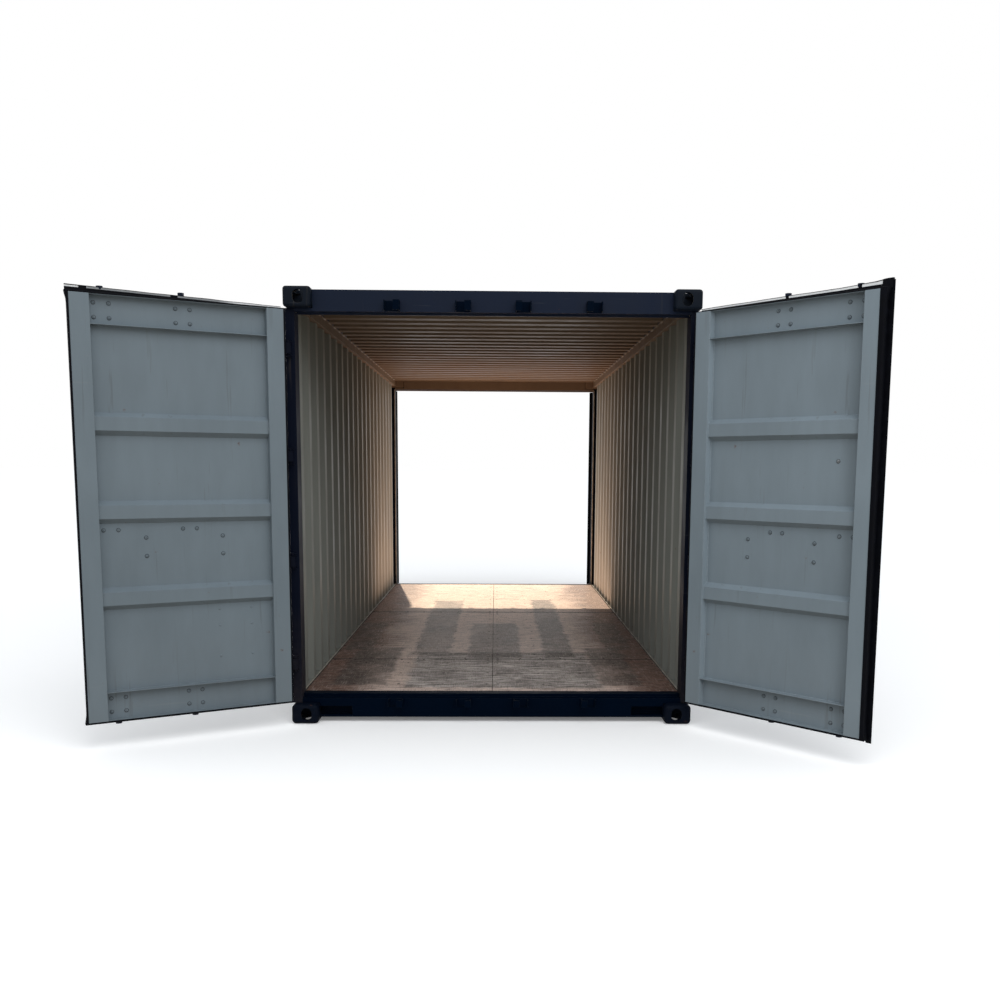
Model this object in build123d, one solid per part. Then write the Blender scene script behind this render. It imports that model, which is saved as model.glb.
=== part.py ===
from build123d import *
import os
from math import floor

# A 20 foot dry freight container with a pair of doors at each end.
# Millimetres. X runs across, Y runs along, Z is up.
# The origin is on the ground plane, in the middle of the four bottom fittings.
# The near end is at -Y and the far end at +Y. Left is -X and right is +X.

# Overall sizes
LENGTH = 6058.0
WIDTH = 2438.0
HEIGHT = 2591.0

# Corner fittings
FIT_X = 162.0
FIT_Y = 178.0
FIT_Z = 118.0
FIT_WALL = 15.0
FIT_TWISTLOCK_WALL = 28.0
TWISTLOCK_LONG = 124.0
TWISTLOCK_WIDE = 63.5
END_HOLE_TALL = 79.5
SIDE_HOLE_LONG = 101.5
HOLE_FROM_SIDE = 89.5
HOLE_FROM_END = 102.5

# Frame of each end
FRAME_SETBACK = 64.0
POST_WIDE = 53.0
POST_INNER_WALL = 12.0
POST_OUTER_WALL = 6.0
SIDE_SETBACK = 3.0
HEADER_BOTTOM_DROP = 17.0
HEADER_TOP_SETBACK = 11.0
HEADER_WALL = 4.0
STOP_SETBACK = 112.0
STOP_THICK = 12.0
SILL_WALL = 4.5
SILL_BOTTOM = 30.0
SILL_LEDGE_DROP = 19.0
SILL_DEEP = 119.0
RECESS_WIDE = 198.0
RECESS_TALL = 58.0
RECESS_DEEP = 60.0
RECESS_BOTTOM = 40.0
RECESS_LINING = 4.0

# Base
RAIL_BOTTOM = 12.5
RAIL_TALL = 158.0
RAIL_WALL = 4.5
RAIL_TOP_FLANGE = 48.0
RAIL_BOTTOM_FLANGE = 30.0
MEMBER_TALL = 122.0
MEMBER_FLANGE = 45.0
MEMBER_WALL = 4.0
MEMBER_PITCH = 345.0
POCKET_CENTRE = 1025.0
POCKET_WIDE = 360.0
POCKET_PLATE = 4.0
POCKET_STRAP = 200.0

# Floor
BOARD_THICK = 28.0
BOARD_GAP = 3.0
BOARD_SEAMS_FROM_NEAR_END = (1217.0, 3587.0)

# Side walls
TOP_RAIL_SIZE = 60.0
TOP_RAIL_WALL = 3.0
TOP_RAIL_BELOW_TOP = 36.0
WALL_THICK = 2.0
WALL_DEPTH = 37.0
WALL_SETBACK = 6.0
WALL_LEAD = 18.0
WALL_SLOPE = 68.0
WALL_INNER_FLAT = 72.0
WALL_OUTER_FLAT = 70.0

# Roof
ROOF_THICK = 2.0
ROOF_DEPTH = 22.0
ROOF_FLAT = 91.0
ROOF_SLOPE = 13.5
ROOF_LEAST_MARGIN = 20.0
ROOF_SIDE_MARGIN = 56.0
ROOF_EDGE_SETBACK = 13.0
CORNER_PLATE_LONG = 300.0
CORNER_PLATE_WIDE = 290.0
CORNER_PLATE_THICK = 3.0

# Hinges, placed by the pin in from the side and the end of the container
PIN_FROM_SIDE = 23.0
PIN_FROM_END = 22.0
PIN_RADIUS = 8.0
PIN_CLEARANCE = 0.4
PIN_HEAD_RADIUS = 12.0
PIN_HEAD_TALL = 5.0
BARREL_RADIUS = 15.0
BARREL_TALL = 60.0
LUG_RADIUS = 16.0
LUG_THICK = 14.0
LUG_GAP = 1.5
BLADE_THICK = 10.0
BLADE_REACH = 235.0
BLADE_TIP_TALL = 44.0
BLADE_TIP_TAPER = 60.0
HINGES_PER_DOOR = 4
HINGE_FROM_LEAF_END = 210.0

# Door leaf. Its own directions are s, from the pin to the free edge, and n,
# from the pin into the container when the door is shut.
LEAF_OUT = 32.0
LEAF_HINGE_EDGE = 46.0
LEAF_CENTRE_GAP = 20.0
LEAF_TOP_GAP = 10.0
LEAF_ABOVE_LEDGE = 12.0
STILE_DEEP = 50.0
STILE_WALL = 3.2
HINGE_STILE_WIDE = 96.0
FREE_STILE_WIDE = 104.0
LEAF_RAIL_DEEP = 46.0
LEAF_RAIL_WALL = 3.2
TOP_RAIL_TALL = 156.0
BOTTOM_RAIL_TALL = 158.0
DRAIN_RADIUS = 6.0
PANEL_THICK = 2.0
RIB_DEEP = 36.0
RIB_FLAT = 72.0
RIB_SLOPE = 26.0
RIB_PITCH = 472.0
RIBS = 3

# Door gaskets
LIP_THICK = 4.0
LIP_WIDE = 8.0
COVER_THICK = 4.0
COVER_DEEP = 28.0
BAND_WIDE = 30.0
BAND_ABOVE_LEAF = 44.0
BAND_BELOW_LEAF = 26.0

# Locking bars, placed from the middle of the container when the door is shut
BAR_FROM_CENTRE = {"inner": 186.0, "outer": 602.0}
BAR_OUT = 5.0
BAR_RADIUS = 17.0
BAR_WALL = 3.0
BAR_END_PLUG = 60.0
GUIDE_CLEARANCE = 0.6
GUIDE_OUT = 21.0
GUIDE_HALF_WIDE = 26.0
GUIDE_TALL = 40.0
GUIDE_PLATE = 6.0
RAIL_PLATE_SIZE = 112.0
MIDDLE_PLATE_TALL = 50.0
GUIDE_BELOW_RIB = 98.0
HUB_BELOW_GUIDE = 90.0
HUB_RADIUS = 22.0
HUB_TALL = 50.0
CHEEK_THICK = 6.0
CHEEK_TALL = 34.0
CHEEK_OVERHANG = 9.0
HANDLE_THICK = 12.0
HANDLE_WIDE = 32.0
HANDLE_LONG = 340.0
HANDLE_CLEARANCE = 1.0
HANDLE_FROM_BAR = 35.0
HANDLE_PIN_RADIUS = 6.0
GRIP_LONG = 120.0
GRIP_OUT = 14.0

# Handle catches on the leaf
CATCH_FROM_BAR = 180.0
CATCH_PLATE_WIDE = 40.0
CATCH_PLATE_TALL = 130.0
CATCH_SHELF_BELOW = 31.0
CATCH_SHELF_THICK = 6.0
CATCH_OUT = 16.0
CATCH_LIP_TALL = 16.0

# Cams at the ends of the bars, and the keepers that hold them
CAM_REACH = 26.0
CAM_HALF_WIDE = 8.0
CAM_TALL = 16.0
TOP_CAM_IN_KEEPER = 18.0
BOTTOM_CAM_IN_KEEPER = 1.0
BAR_PAST_CAM = 3.0
TOP_KEEPER_TALL = 58.0
BOTTOM_KEEPER_TALL = 44.0
KEEPER_FROM_LIP = 6.0
KEEPER_PLATE = 6.0
KEEPER_OUTSIDE = 36.0
KEEPER_INSIDE = 56.0
KEEPER_CHEEK = 6.0
KEEPER_FRONT = 5.0
HOOK_THICK = 9.0
HOOK_FROM_AXIS = 18.0

# How far each door stands open, in degrees from shut
DOOR_ANGLES = {
    "near_left": 152.0,
    "near_right": 132.5,
    "far_left": 130.0,
    "far_right": 112.0,
}

# Heights and faces worked out from the sizes above
HALF_L = LENGTH / 2
HALF_W = WIDTH / 2
SIDE_FACE = HALF_W - SIDE_SETBACK
POST_INNER_FACE = SIDE_FACE - POST_WIDE
FIT_INNER_X = HALF_W - FIT_X
FIT_INNER_Y = HALF_L - FIT_Y
POST_BACK = FIT_INNER_Y
TOP_FIT_BOTTOM = HEIGHT - FIT_Z
HEADER_BOTTOM = TOP_FIT_BOTTOM - HEADER_BOTTOM_DROP
MEMBER_BOTTOM = RAIL_BOTTOM + RAIL_WALL
BOARD_BOTTOM = MEMBER_BOTTOM + MEMBER_TALL
FLOOR_TOP = BOARD_BOTTOM + BOARD_THICK
SILL_BACK = HALF_L - FRAME_SETBACK - SILL_DEEP
LEDGE_TOP = FLOOR_TOP - SILL_LEDGE_DROP
RAIL_TOP = RAIL_BOTTOM + RAIL_TALL
TOP_RAIL_TOP = HEIGHT - TOP_RAIL_BELOW_TOP
TOP_RAIL_BOTTOM = TOP_RAIL_TOP - TOP_RAIL_SIZE
LEAF_BOTTOM = LEDGE_TOP + LEAF_ABOVE_LEDGE
LEAF_TOP = HEADER_BOTTOM - LEAF_TOP_GAP
PIN_TO_CENTRE = HALF_W - PIN_FROM_SIDE
LEAF_FREE_EDGE = PIN_TO_CENTRE - LEAF_CENTRE_GAP
PANEL_LOW = LEAF_BOTTOM + BOTTOM_RAIL_TALL
PANEL_HIGH = LEAF_TOP - TOP_RAIL_TALL
PANEL_NEAR_HINGE = LEAF_HINGE_EDGE + HINGE_STILE_WIDE
PANEL_NEAR_FREE = LEAF_FREE_EDGE - FREE_STILE_WIDE
MIDDLE_RIB = (PANEL_LOW + PANEL_HIGH) / 2
MIDDLE_GUIDE = MIDDLE_RIB - GUIDE_BELOW_RIB
HUB_HEIGHT = MIDDLE_GUIDE - HUB_BELOW_GUIDE
TOP_KEEPER_LOW = LEAF_TOP + LIP_WIDE + KEEPER_FROM_LIP
BOTTOM_KEEPER_HIGH = LEAF_BOTTOM - LIP_WIDE - KEEPER_FROM_LIP
FRAME_N = FRAME_SETBACK - PIN_FROM_END


def block(x, y, z):
    """A box from its low and high value along each axis."""
    lows = (min(x), min(y), min(z))
    size = [abs(b - a) for a, b in (x, y, z)]
    return Pos(*lows) * Box(*size, align=(Align.MIN, Align.MIN, Align.MIN))


def along_x(points, x):
    """A (y, z) outline run from one X to another."""
    face = make_face(Polyline(*[(x[0], y, z) for y, z in points], close=True))
    return extrude(face, amount=x[1] - x[0], dir=(1, 0, 0))


def along_z(points, z):
    """An (x, y) outline run from one Z to another."""
    face = make_face(Polyline(*[(x, y, z[0]) for x, y in points], close=True))
    return extrude(face, amount=z[1] - z[0], dir=(0, 0, 1))


def rod(x, y, z, radius):
    """A round upright bar."""
    return Pos(x, y, z[0]) * Cylinder(radius, z[1] - z[0], align=(Align.CENTER, Align.CENTER, Align.MIN))


def four_corners(shape):
    """The shape at +X +Y, and its mirror images at the other three corners."""
    across = mirror(shape, about=Plane.YZ)
    return [shape, across, mirror(shape, about=Plane.XZ), mirror(across, about=Plane.XZ)]


def both_sides(shape):
    return [shape, mirror(shape, about=Plane.YZ)]


def both_ends(shape):
    """The shape at the near end, and a copy turned to the far end."""
    return [shape, Rot(Z=180) * shape]


def corner_fitting(top):
    """A hollow casting with a hole in each of its three outer faces."""
    z = (HEIGHT - FIT_Z, HEIGHT) if top else (0.0, FIT_Z)
    body = block((FIT_INNER_X, HALF_W), (FIT_INNER_Y, HALF_L), z)
    low_wall = FIT_WALL if top else FIT_TWISTLOCK_WALL
    high_wall = FIT_TWISTLOCK_WALL if top else FIT_WALL
    body -= block(
        (FIT_INNER_X + FIT_WALL, HALF_W - FIT_WALL),
        (FIT_INNER_Y + FIT_WALL, HALF_L - FIT_WALL),
        (z[0] + low_wall, z[1] - high_wall),
    )
    x = HALF_W - HOLE_FROM_SIDE
    y = HALF_L - HOLE_FROM_END
    middle = (z[0] + z[1]) / 2
    twistlock = SlotOverall(TWISTLOCK_LONG, TWISTLOCK_WIDE, rotation=90)
    start = z[1] - FIT_Z / 2 if top else z[0] - FIT_Z / 2
    body -= extrude(Pos(x, y, start) * twistlock, amount=FIT_Z)
    end_plane = Plane(origin=(x, HALF_L - FIT_Y / 2, middle), x_dir=(1, 0, 0), z_dir=(0, 1, 0))
    body -= extrude(end_plane * SlotOverall(END_HOLE_TALL, TWISTLOCK_WIDE, rotation=90), amount=FIT_Y)
    side_plane = Plane(origin=(HALF_W - FIT_X / 2, y, middle), x_dir=(0, 1, 0), z_dir=(1, 0, 0))
    body -= extrude(side_plane * SlotOverall(SIDE_HOLE_LONG, TWISTLOCK_WIDE), amount=FIT_X)
    return body


def corner_post():
    """A closed hollow section, thick on its inner side and thin on its outer side."""
    x = (POST_INNER_FACE, SIDE_FACE)
    y = (POST_BACK, HALF_L - FRAME_SETBACK)
    z = (FIT_Z, TOP_FIT_BOTTOM)
    hollow = block(
        (x[0] + POST_INNER_WALL, x[1] - POST_OUTER_WALL),
        (y[0] + POST_OUTER_WALL, y[1] - POST_OUTER_WALL),
        z,
    )
    return block(x, y, z) - hollow


def fitting_space(z):
    """The room that the fittings of one end take out of what runs between the posts."""
    return [
        block((FIT_INNER_X, HALF_W), (-HALF_L, -FIT_INNER_Y), z),
        block((-HALF_W, -FIT_INNER_X), (-HALF_L, -FIT_INNER_Y), z),
    ]


def header():
    """The hollow beam over the near doors, with the stop that they close against."""
    x = (-POST_INNER_FACE, POST_INNER_FACE)
    y = (-HALF_L + FRAME_SETBACK, -FIT_INNER_Y)
    z = (HEADER_BOTTOM, HEIGHT - HEADER_TOP_SETBACK)
    beam = block(x, y, z)
    beam -= block(
        x,
        (y[0] + HEADER_WALL, y[1] - HEADER_WALL),
        (z[0] + HEADER_WALL, z[1] - HEADER_WALL),
    )
    stop_y = -HALF_L + STOP_SETBACK
    beam += block(x, (stop_y, stop_y + STOP_THICK), (z[0] - STOP_THICK, z[0]))
    return beam - fitting_space((TOP_FIT_BOTTOM, HEIGHT))


def sill():
    """The hollow step under the near doors, with a lined recess beside each fitting."""
    front = -HALF_L + FRAME_SETBACK
    stop = -HALF_L + STOP_SETBACK
    back = -SILL_BACK
    w = SILL_WALL
    x = (-POST_INNER_FACE, POST_INNER_FACE)
    outer = [
        (front, SILL_BOTTOM),
        (front, LEDGE_TOP),
        (stop, LEDGE_TOP),
        (stop, FLOOR_TOP),
        (back, FLOOR_TOP),
        (back, SILL_BOTTOM),
    ]
    inner = [
        (front + w, SILL_BOTTOM + w),
        (front + w, LEDGE_TOP - w),
        (stop + w, LEDGE_TOP - w),
        (stop + w, FLOOR_TOP - w),
        (back - w, FLOOR_TOP - w),
        (back - w, SILL_BOTTOM + w),
    ]
    beam = along_x(outer, x) - along_x(inner, x)
    for side in (-1, 1):
        inside = side * (FIT_INNER_X - RECESS_WIDE)
        outside = side * FIT_INNER_X
        high = RECESS_BOTTOM + RECESS_TALL
        t = RECESS_LINING
        beam += block(
            (inside - side * t, outside),
            (front, front + RECESS_DEEP + t),
            (RECESS_BOTTOM - t, high + t),
        )
        beam -= block((inside, outside), (front, front + RECESS_DEEP), (RECESS_BOTTOM, high))
    return beam - fitting_space((0.0, FIT_Z))


def bottom_side_rail():
    """The channel along the right side, cut for the fork pockets."""
    web = SIDE_FACE - RAIL_WALL
    y = (-FIT_INNER_Y, FIT_INNER_Y)
    rail = block((web, SIDE_FACE), y, (RAIL_BOTTOM, RAIL_TOP))
    rail += block((SIDE_FACE - RAIL_TOP_FLANGE, web), y, (RAIL_TOP - RAIL_WALL, RAIL_TOP))
    rail += block((SIDE_FACE - RAIL_BOTTOM_FLANGE, web), y, (RAIL_BOTTOM, MEMBER_BOTTOM))
    for side in (-1, 1):
        middle = side * POCKET_CENTRE
        rail -= block(
            (web, SIDE_FACE),
            (middle - POCKET_WIDE / 2, middle + POCKET_WIDE / 2),
            (MEMBER_BOTTOM + POCKET_PLATE, BOARD_BOTTOM - POCKET_PLATE),
        )
    return rail


def fork_pocket(middle):
    """A tunnel right across the base, open below except for a strap at each mouth."""
    t = POCKET_PLATE
    web = SIDE_FACE - RAIL_WALL
    low, high = MEMBER_BOTTOM, BOARD_BOTTOM
    left, right = middle - POCKET_WIDE / 2, middle + POCKET_WIDE / 2
    tunnel = block((-web, web), (left - t, right + t), (high - t, high))
    for y in ((left - t, left), (right, right + t)):
        tunnel += block((-web, web), y, (low, high - t))
    for side in (-1, 1):
        tunnel += block((side * (web - POCKET_STRAP), side * web), (left, right), (low, low + t))
    return tunnel


def cross_member(y):
    """A channel across the base, its web up and its flanges towards the far end."""
    web = SIDE_FACE - RAIL_WALL
    t = MEMBER_WALL
    low, high = MEMBER_BOTTOM, BOARD_BOTTOM
    y0 = y - MEMBER_FLANGE / 2
    y1 = y + MEMBER_FLANGE / 2
    outline = [
        (y0, low), (y1, low), (y1, low + t), (y0 + t, low + t),
        (y0 + t, high - t), (y1, high - t), (y1, high), (y0, high),
    ]
    return along_x(outline, (-web, web))


def cross_members():
    """Evenly spaced channels in the three stretches that the sills and fork pockets leave."""
    edge = POCKET_CENTRE + POCKET_WIDE / 2 + POCKET_PLATE
    inner_edge = POCKET_CENTRE - POCKET_WIDE / 2 - POCKET_PLATE
    members = []
    for low, high in ((-SILL_BACK, -edge), (-inner_edge, inner_edge), (edge, SILL_BACK)):
        count = max(1, round((high - low) / MEMBER_PITCH))
        step = (high - low) / count
        members += [cross_member(low + step * (i + 0.5)) for i in range(count)]
    return members


def floor_boards():
    """Plywood sheets in two columns, with an open seam between each and the next."""
    gap = BOARD_GAP
    seams = [-SILL_BACK + gap / 2]
    seams += [y - HALF_L for y in BOARD_SEAMS_FROM_NEAR_END]
    seams += [SILL_BACK - gap / 2]
    outer = SIDE_FACE - RAIL_TOP_FLANGE - gap
    boards = []
    for low, high in zip(seams, seams[1:]):
        sheet = block((gap / 2, outer), (low + gap / 2, high - gap / 2), (BOARD_BOTTOM, FLOOR_TOP))
        boards += both_sides(sheet)
    return boards


def thicken(path, thick):
    """A closed outline around a line of (along, across) points, thickened across."""
    return path + [(a, b + thick) for a, b in reversed(path)]


def side_wall():
    """The corrugated sheet of the right wall, standing on the bottom rail."""
    outer = HALF_W - WALL_SETBACK - WALL_THICK
    inner = HALF_W - WALL_SETBACK - WALL_DEPTH
    pitch = 2 * WALL_SLOPE + WALL_INNER_FLAT + WALL_OUTER_FLAT
    count = floor((2 * POST_BACK - WALL_LEAD) / pitch)
    y = -POST_BACK
    path = [(y, outer)]
    y += WALL_LEAD
    for _ in range(count):
        for along, across in (
            (0.0, outer),
            (WALL_SLOPE, inner),
            (WALL_SLOPE + WALL_INNER_FLAT, inner),
            (2 * WALL_SLOPE + WALL_INNER_FLAT, outer),
        ):
            path.append((y + along, across))
        y += pitch
    path.append((POST_BACK, outer))
    outline = [(x, y) for y, x in thicken(path, WALL_THICK)]
    return along_z(outline, (RAIL_TOP, TOP_RAIL_BOTTOM))


def top_side_rail():
    x = (SIDE_FACE - TOP_RAIL_SIZE, SIDE_FACE)
    y = (-FIT_INNER_Y, FIT_INNER_Y)
    z = (TOP_RAIL_BOTTOM, TOP_RAIL_TOP)
    t = TOP_RAIL_WALL
    return block(x, y, z) - block((x[0] + t, x[1] - t), y, (z[0] + t, z[1] - t))


def roof_panel():
    """The roof sheet: ribs across the roof, closed at their ends, and flat edges on the rails."""
    pitch = 2 * (ROOF_FLAT + ROOF_SLOPE)
    count = floor((2 * FIT_INNER_Y - 2 * ROOF_LEAST_MARGIN - ROOF_SLOPE) / pitch)
    margin = (2 * FIT_INNER_Y - count * pitch + ROOF_FLAT) / 2
    low = TOP_RAIL_TOP
    high = TOP_RAIL_TOP + ROOF_DEPTH - ROOF_THICK
    y = -FIT_INNER_Y
    path = [(y, low)]
    y += margin
    for _ in range(count):
        for along, up in (
            (0.0, low),
            (ROOF_SLOPE, high),
            (ROOF_SLOPE + ROOF_FLAT, high),
            (2 * ROOF_SLOPE + ROOF_FLAT, low),
        ):
            path.append((y + along, up))
        y += pitch
    path.append((FIT_INNER_Y, low))
    edge = HALF_W - ROOF_EDGE_SETBACK
    ribbed = edge - ROOF_SIDE_MARGIN
    sheet = along_x(thicken(path, ROOF_THICK), (-ribbed, ribbed))
    for side in (-1, 1):
        sheet += block(
            (side * (ribbed - ROOF_THICK), side * ribbed),
            (-FIT_INNER_Y + margin, FIT_INNER_Y - margin),
            (low, low + ROOF_DEPTH),
        )
        sheet += block(
            (side * ribbed, side * edge),
            (-FIT_INNER_Y, FIT_INNER_Y),
            (low, low + ROOF_THICK),
        )
    return sheet


def roof_corner_plate():
    """A flat plate on the roof ribs beside the far right fitting."""
    edge = HALF_W - ROOF_EDGE_SETBACK - ROOF_SIDE_MARGIN
    low = TOP_RAIL_TOP + ROOF_DEPTH
    return block(
        (edge - CORNER_PLATE_WIDE, edge),
        (FIT_INNER_Y - CORNER_PLATE_LONG, FIT_INNER_Y),
        (low, low + CORNER_PLATE_THICK),
    )


def hinge_heights():
    low = LEAF_BOTTOM + HINGE_FROM_LEAF_END
    high = LEAF_TOP - HINGE_FROM_LEAF_END
    step = (high - low) / (HINGES_PER_DOOR - 1)
    return [low + step * i for i in range(HINGES_PER_DOOR)]


def bar_along_leaf(which):
    return PIN_TO_CENTRE - BAR_FROM_CENTRE[which]


def hinge_bracket(z):
    """Two lugs on the post and the pin through them, in the leaf's own directions."""
    inner = BARREL_TALL / 2 + LUG_GAP
    outer = inner + LUG_THICK
    shape = rod(0, 0, (z - outer, z + outer), PIN_RADIUS)
    for low, high in ((z - outer, z - inner), (z + inner, z + outer)):
        shape += rod(0, 0, (low, high), LUG_RADIUS)
        shape += block((-LUG_RADIUS, LUG_RADIUS), (0, FRAME_N), (low, high))
    return shape + rod(0, 0, (z + outer, z + outer + PIN_HEAD_TALL), PIN_HEAD_RADIUS)


def keeper(which, z):
    """The bracket on the frame that a turned cam hooks behind."""
    s = bar_along_leaf(which)
    front = KEEPER_FRONT - PIN_FROM_END
    plate = FRAME_N - KEEPER_PLATE
    outside = s - KEEPER_OUTSIDE
    inside = s + KEEPER_INSIDE
    shape = block((outside, inside), (plate, FRAME_N), z)
    shape += block((inside - KEEPER_CHEEK, inside), (front, plate), z)
    shape += block((outside, outside + KEEPER_CHEEK), (front + HOOK_THICK, plate), z)
    shape += block((s + HOOK_FROM_AXIS, inside - KEEPER_CHEEK), (front, front + HOOK_THICK), z)
    return shape


def keepers():
    """The header and sill keepers of one shut door, in the leaf's own directions."""
    top = (TOP_KEEPER_LOW, TOP_KEEPER_LOW + TOP_KEEPER_TALL)
    bottom = (BOTTOM_KEEPER_HIGH - BOTTOM_KEEPER_TALL, BOTTOM_KEEPER_HIGH)
    return [keeper(which, z) for which in BAR_FROM_CENTRE for z in (top, bottom)]


def leaf_frame():
    """Two tube stiles, drained below, and two channel rails that open to the inside."""
    stile_in = LEAF_OUT + STILE_DEEP
    rail_in = LEAF_OUT + LEAF_RAIL_DEEP
    z = (LEAF_BOTTOM, LEAF_TOP)
    w = STILE_WALL
    t = LEAF_RAIL_WALL
    stiles = ((LEAF_HINGE_EDGE, PANEL_NEAR_HINGE), (PANEL_NEAR_FREE, LEAF_FREE_EDGE))
    rails = ((LEAF_BOTTOM, PANEL_LOW), (PANEL_HIGH, LEAF_TOP))
    span = (PANEL_NEAR_HINGE, PANEL_NEAR_FREE)
    frame = Part()
    for s in stiles:
        frame += block(s, (LEAF_OUT, stile_in), z)
    for r in rails:
        frame += block(span, (LEAF_OUT, rail_in), r)
    for s in stiles:
        frame -= block((s[0] + w, s[1] - w), (LEAF_OUT + w, stile_in - w), (z[0] + w, z[1] - w))
        frame -= rod((s[0] + s[1]) / 2, (LEAF_OUT + stile_in) / 2, (z[0] - w, z[0] + 2 * w), DRAIN_RADIUS)
    for r in rails:
        frame -= block(span, (LEAF_OUT + t, rail_in), (r[0] + t, r[1] - t))
    return frame


def leaf_panel():
    """The ribbed sheet between the stiles and rails, flush with the outside of the leaf."""
    out = LEAF_OUT
    deep = LEAF_OUT + RIB_DEEP - PANEL_THICK
    path = [(PANEL_LOW, out)]
    first = MIDDLE_RIB - RIB_PITCH * (RIBS - 1) / 2
    for i in range(RIBS):
        middle = first + RIB_PITCH * i
        near, far = RIB_FLAT / 2, RIB_FLAT / 2 + RIB_SLOPE
        path += [(middle - far, out), (middle - near, deep), (middle + near, deep), (middle + far, out)]
    path.append((PANEL_HIGH, out))
    outline = [(n, z) for z, n in thicken(path, PANEL_THICK)]
    return along_x(outline, (PANEL_NEAR_HINGE, PANEL_NEAR_FREE))


def leaf_gasket(with_band):
    """Rubber round the leaf: a lip over the frame's face, a cover on the edges, and perhaps a band."""
    lip = (LEAF_OUT, LEAF_OUT + LIP_THICK)
    cover = (LEAF_OUT + LIP_THICK, LEAF_OUT + LIP_THICK + COVER_DEEP)
    s = (LEAF_HINGE_EDGE, LEAF_FREE_EDGE)
    z = (LEAF_BOTTOM, LEAF_TOP)
    seal = Part()
    for n, wide in ((lip, LIP_WIDE), (cover, COVER_THICK)):
        seal += block((s[0] - wide, s[1]), n, (z[0] - wide, z[1] + wide))
        seal -= block(s, n, z)
    if with_band:
        band_z = (z[0] - BAND_BELOW_LEAF, z[1] + BAND_ABOVE_LEAF)
        seal += block((s[1], s[1] + BAND_WIDE), lip, band_z)
    return seal


def hinge_blade(z):
    """A barrel on the pin and a strap along the leaf, narrower towards its tip."""
    half = BARREL_TALL / 2
    tip = BLADE_TIP_TALL / 2
    strap_n = (LEAF_OUT - BLADE_THICK, LEAF_OUT)
    outline = [
        (0, z - half),
        (BLADE_REACH - BLADE_TIP_TAPER, z - half),
        (BLADE_REACH, z - tip),
        (BLADE_REACH, z + tip),
        (BLADE_REACH - BLADE_TIP_TAPER, z + half),
        (0, z + half),
    ]
    face = make_face(Polyline(*[(s, strap_n[0], up) for s, up in outline], close=True))
    blade = extrude(face, amount=BLADE_THICK, dir=(0, 1, 0))
    blade += block((-BARREL_RADIUS / 2, BARREL_RADIUS), (BARREL_RADIUS / 2, LEAF_OUT), (z - half, z + half))
    blade += rod(0, 0, (z - half, z + half), BARREL_RADIUS)
    return blade - rod(0, 0, (z - half, z + half), PIN_RADIUS + PIN_CLEARANCE)


def bar_guide(s, z, plate_wide, plate_tall):
    """A plate on the leaf with a block that the locking bar turns in."""
    plate = (LEAF_OUT - GUIDE_PLATE, LEAF_OUT)
    shape = block((s - plate_wide / 2, s + plate_wide / 2), plate, (z - plate_tall / 2, z + plate_tall / 2))
    shape += block(
        (s - GUIDE_HALF_WIDE, s + GUIDE_HALF_WIDE),
        (BAR_OUT - GUIDE_OUT, plate[0]),
        (z - GUIDE_TALL / 2, z + GUIDE_TALL / 2),
    )
    return shape - rod(s, BAR_OUT, (z - GUIDE_TALL / 2, z + GUIDE_TALL / 2), BAR_RADIUS + GUIDE_CLEARANCE)


def handle_catch(s):
    """A plate on the leaf with a shelf and a low lip that the raised handle rests in."""
    half = CATCH_PLATE_WIDE / 2
    plate = (LEAF_OUT - GUIDE_PLATE, LEAF_OUT)
    shelf = HUB_HEIGHT - CATCH_SHELF_BELOW
    middle = HUB_HEIGHT - GUIDE_PLATE
    front = BAR_OUT - CATCH_OUT
    shape = block((s - half, s + half), plate, (middle - CATCH_PLATE_TALL / 2, middle + CATCH_PLATE_TALL / 2))
    shape += block((s - half, s + half), (front, plate[0]), (shelf - CATCH_SHELF_THICK, shelf))
    lip = (shelf, shelf - CATCH_SHELF_THICK + CATCH_LIP_TALL)
    shape += block((s - half, s + half), (front, front + CATCH_SHELF_THICK), lip)
    return shape


def leaf_ironwork():
    """Hinge blades, bar guides and handle catches, as separate solids on the leaf."""
    pieces = [hinge_blade(z) for z in hinge_heights()]
    for which in BAR_FROM_CENTRE:
        s = bar_along_leaf(which)
        for z in (LEAF_BOTTOM + BOTTOM_RAIL_TALL / 2, LEAF_TOP - TOP_RAIL_TALL / 2):
            pieces.append(bar_guide(s, z, RAIL_PLATE_SIZE, RAIL_PLATE_SIZE))
        pieces.append(bar_guide(s, MIDDLE_GUIDE, RAIL_PLATE_SIZE, MIDDLE_PLATE_TALL))
        pieces.append(handle_catch(s - CATCH_FROM_BAR))
    return pieces


def cam(s, low):
    """An arm that points into the frame while the bar is unlocked."""
    z = (low, low + CAM_TALL)
    arm = block((s - CAM_HALF_WIDE, s + CAM_HALF_WIDE), (BAR_OUT, BAR_OUT + CAM_REACH - CAM_HALF_WIDE), z)
    return arm + rod(s, BAR_OUT + CAM_REACH - CAM_HALF_WIDE, z, CAM_HALF_WIDE)


def across_rod(s, n, z, radius):
    """A round bar along s."""
    return Pos((s[0] + s[1]) / 2, n, z) * Rot(Y=90) * Cylinder(radius, s[1] - s[0])


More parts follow.
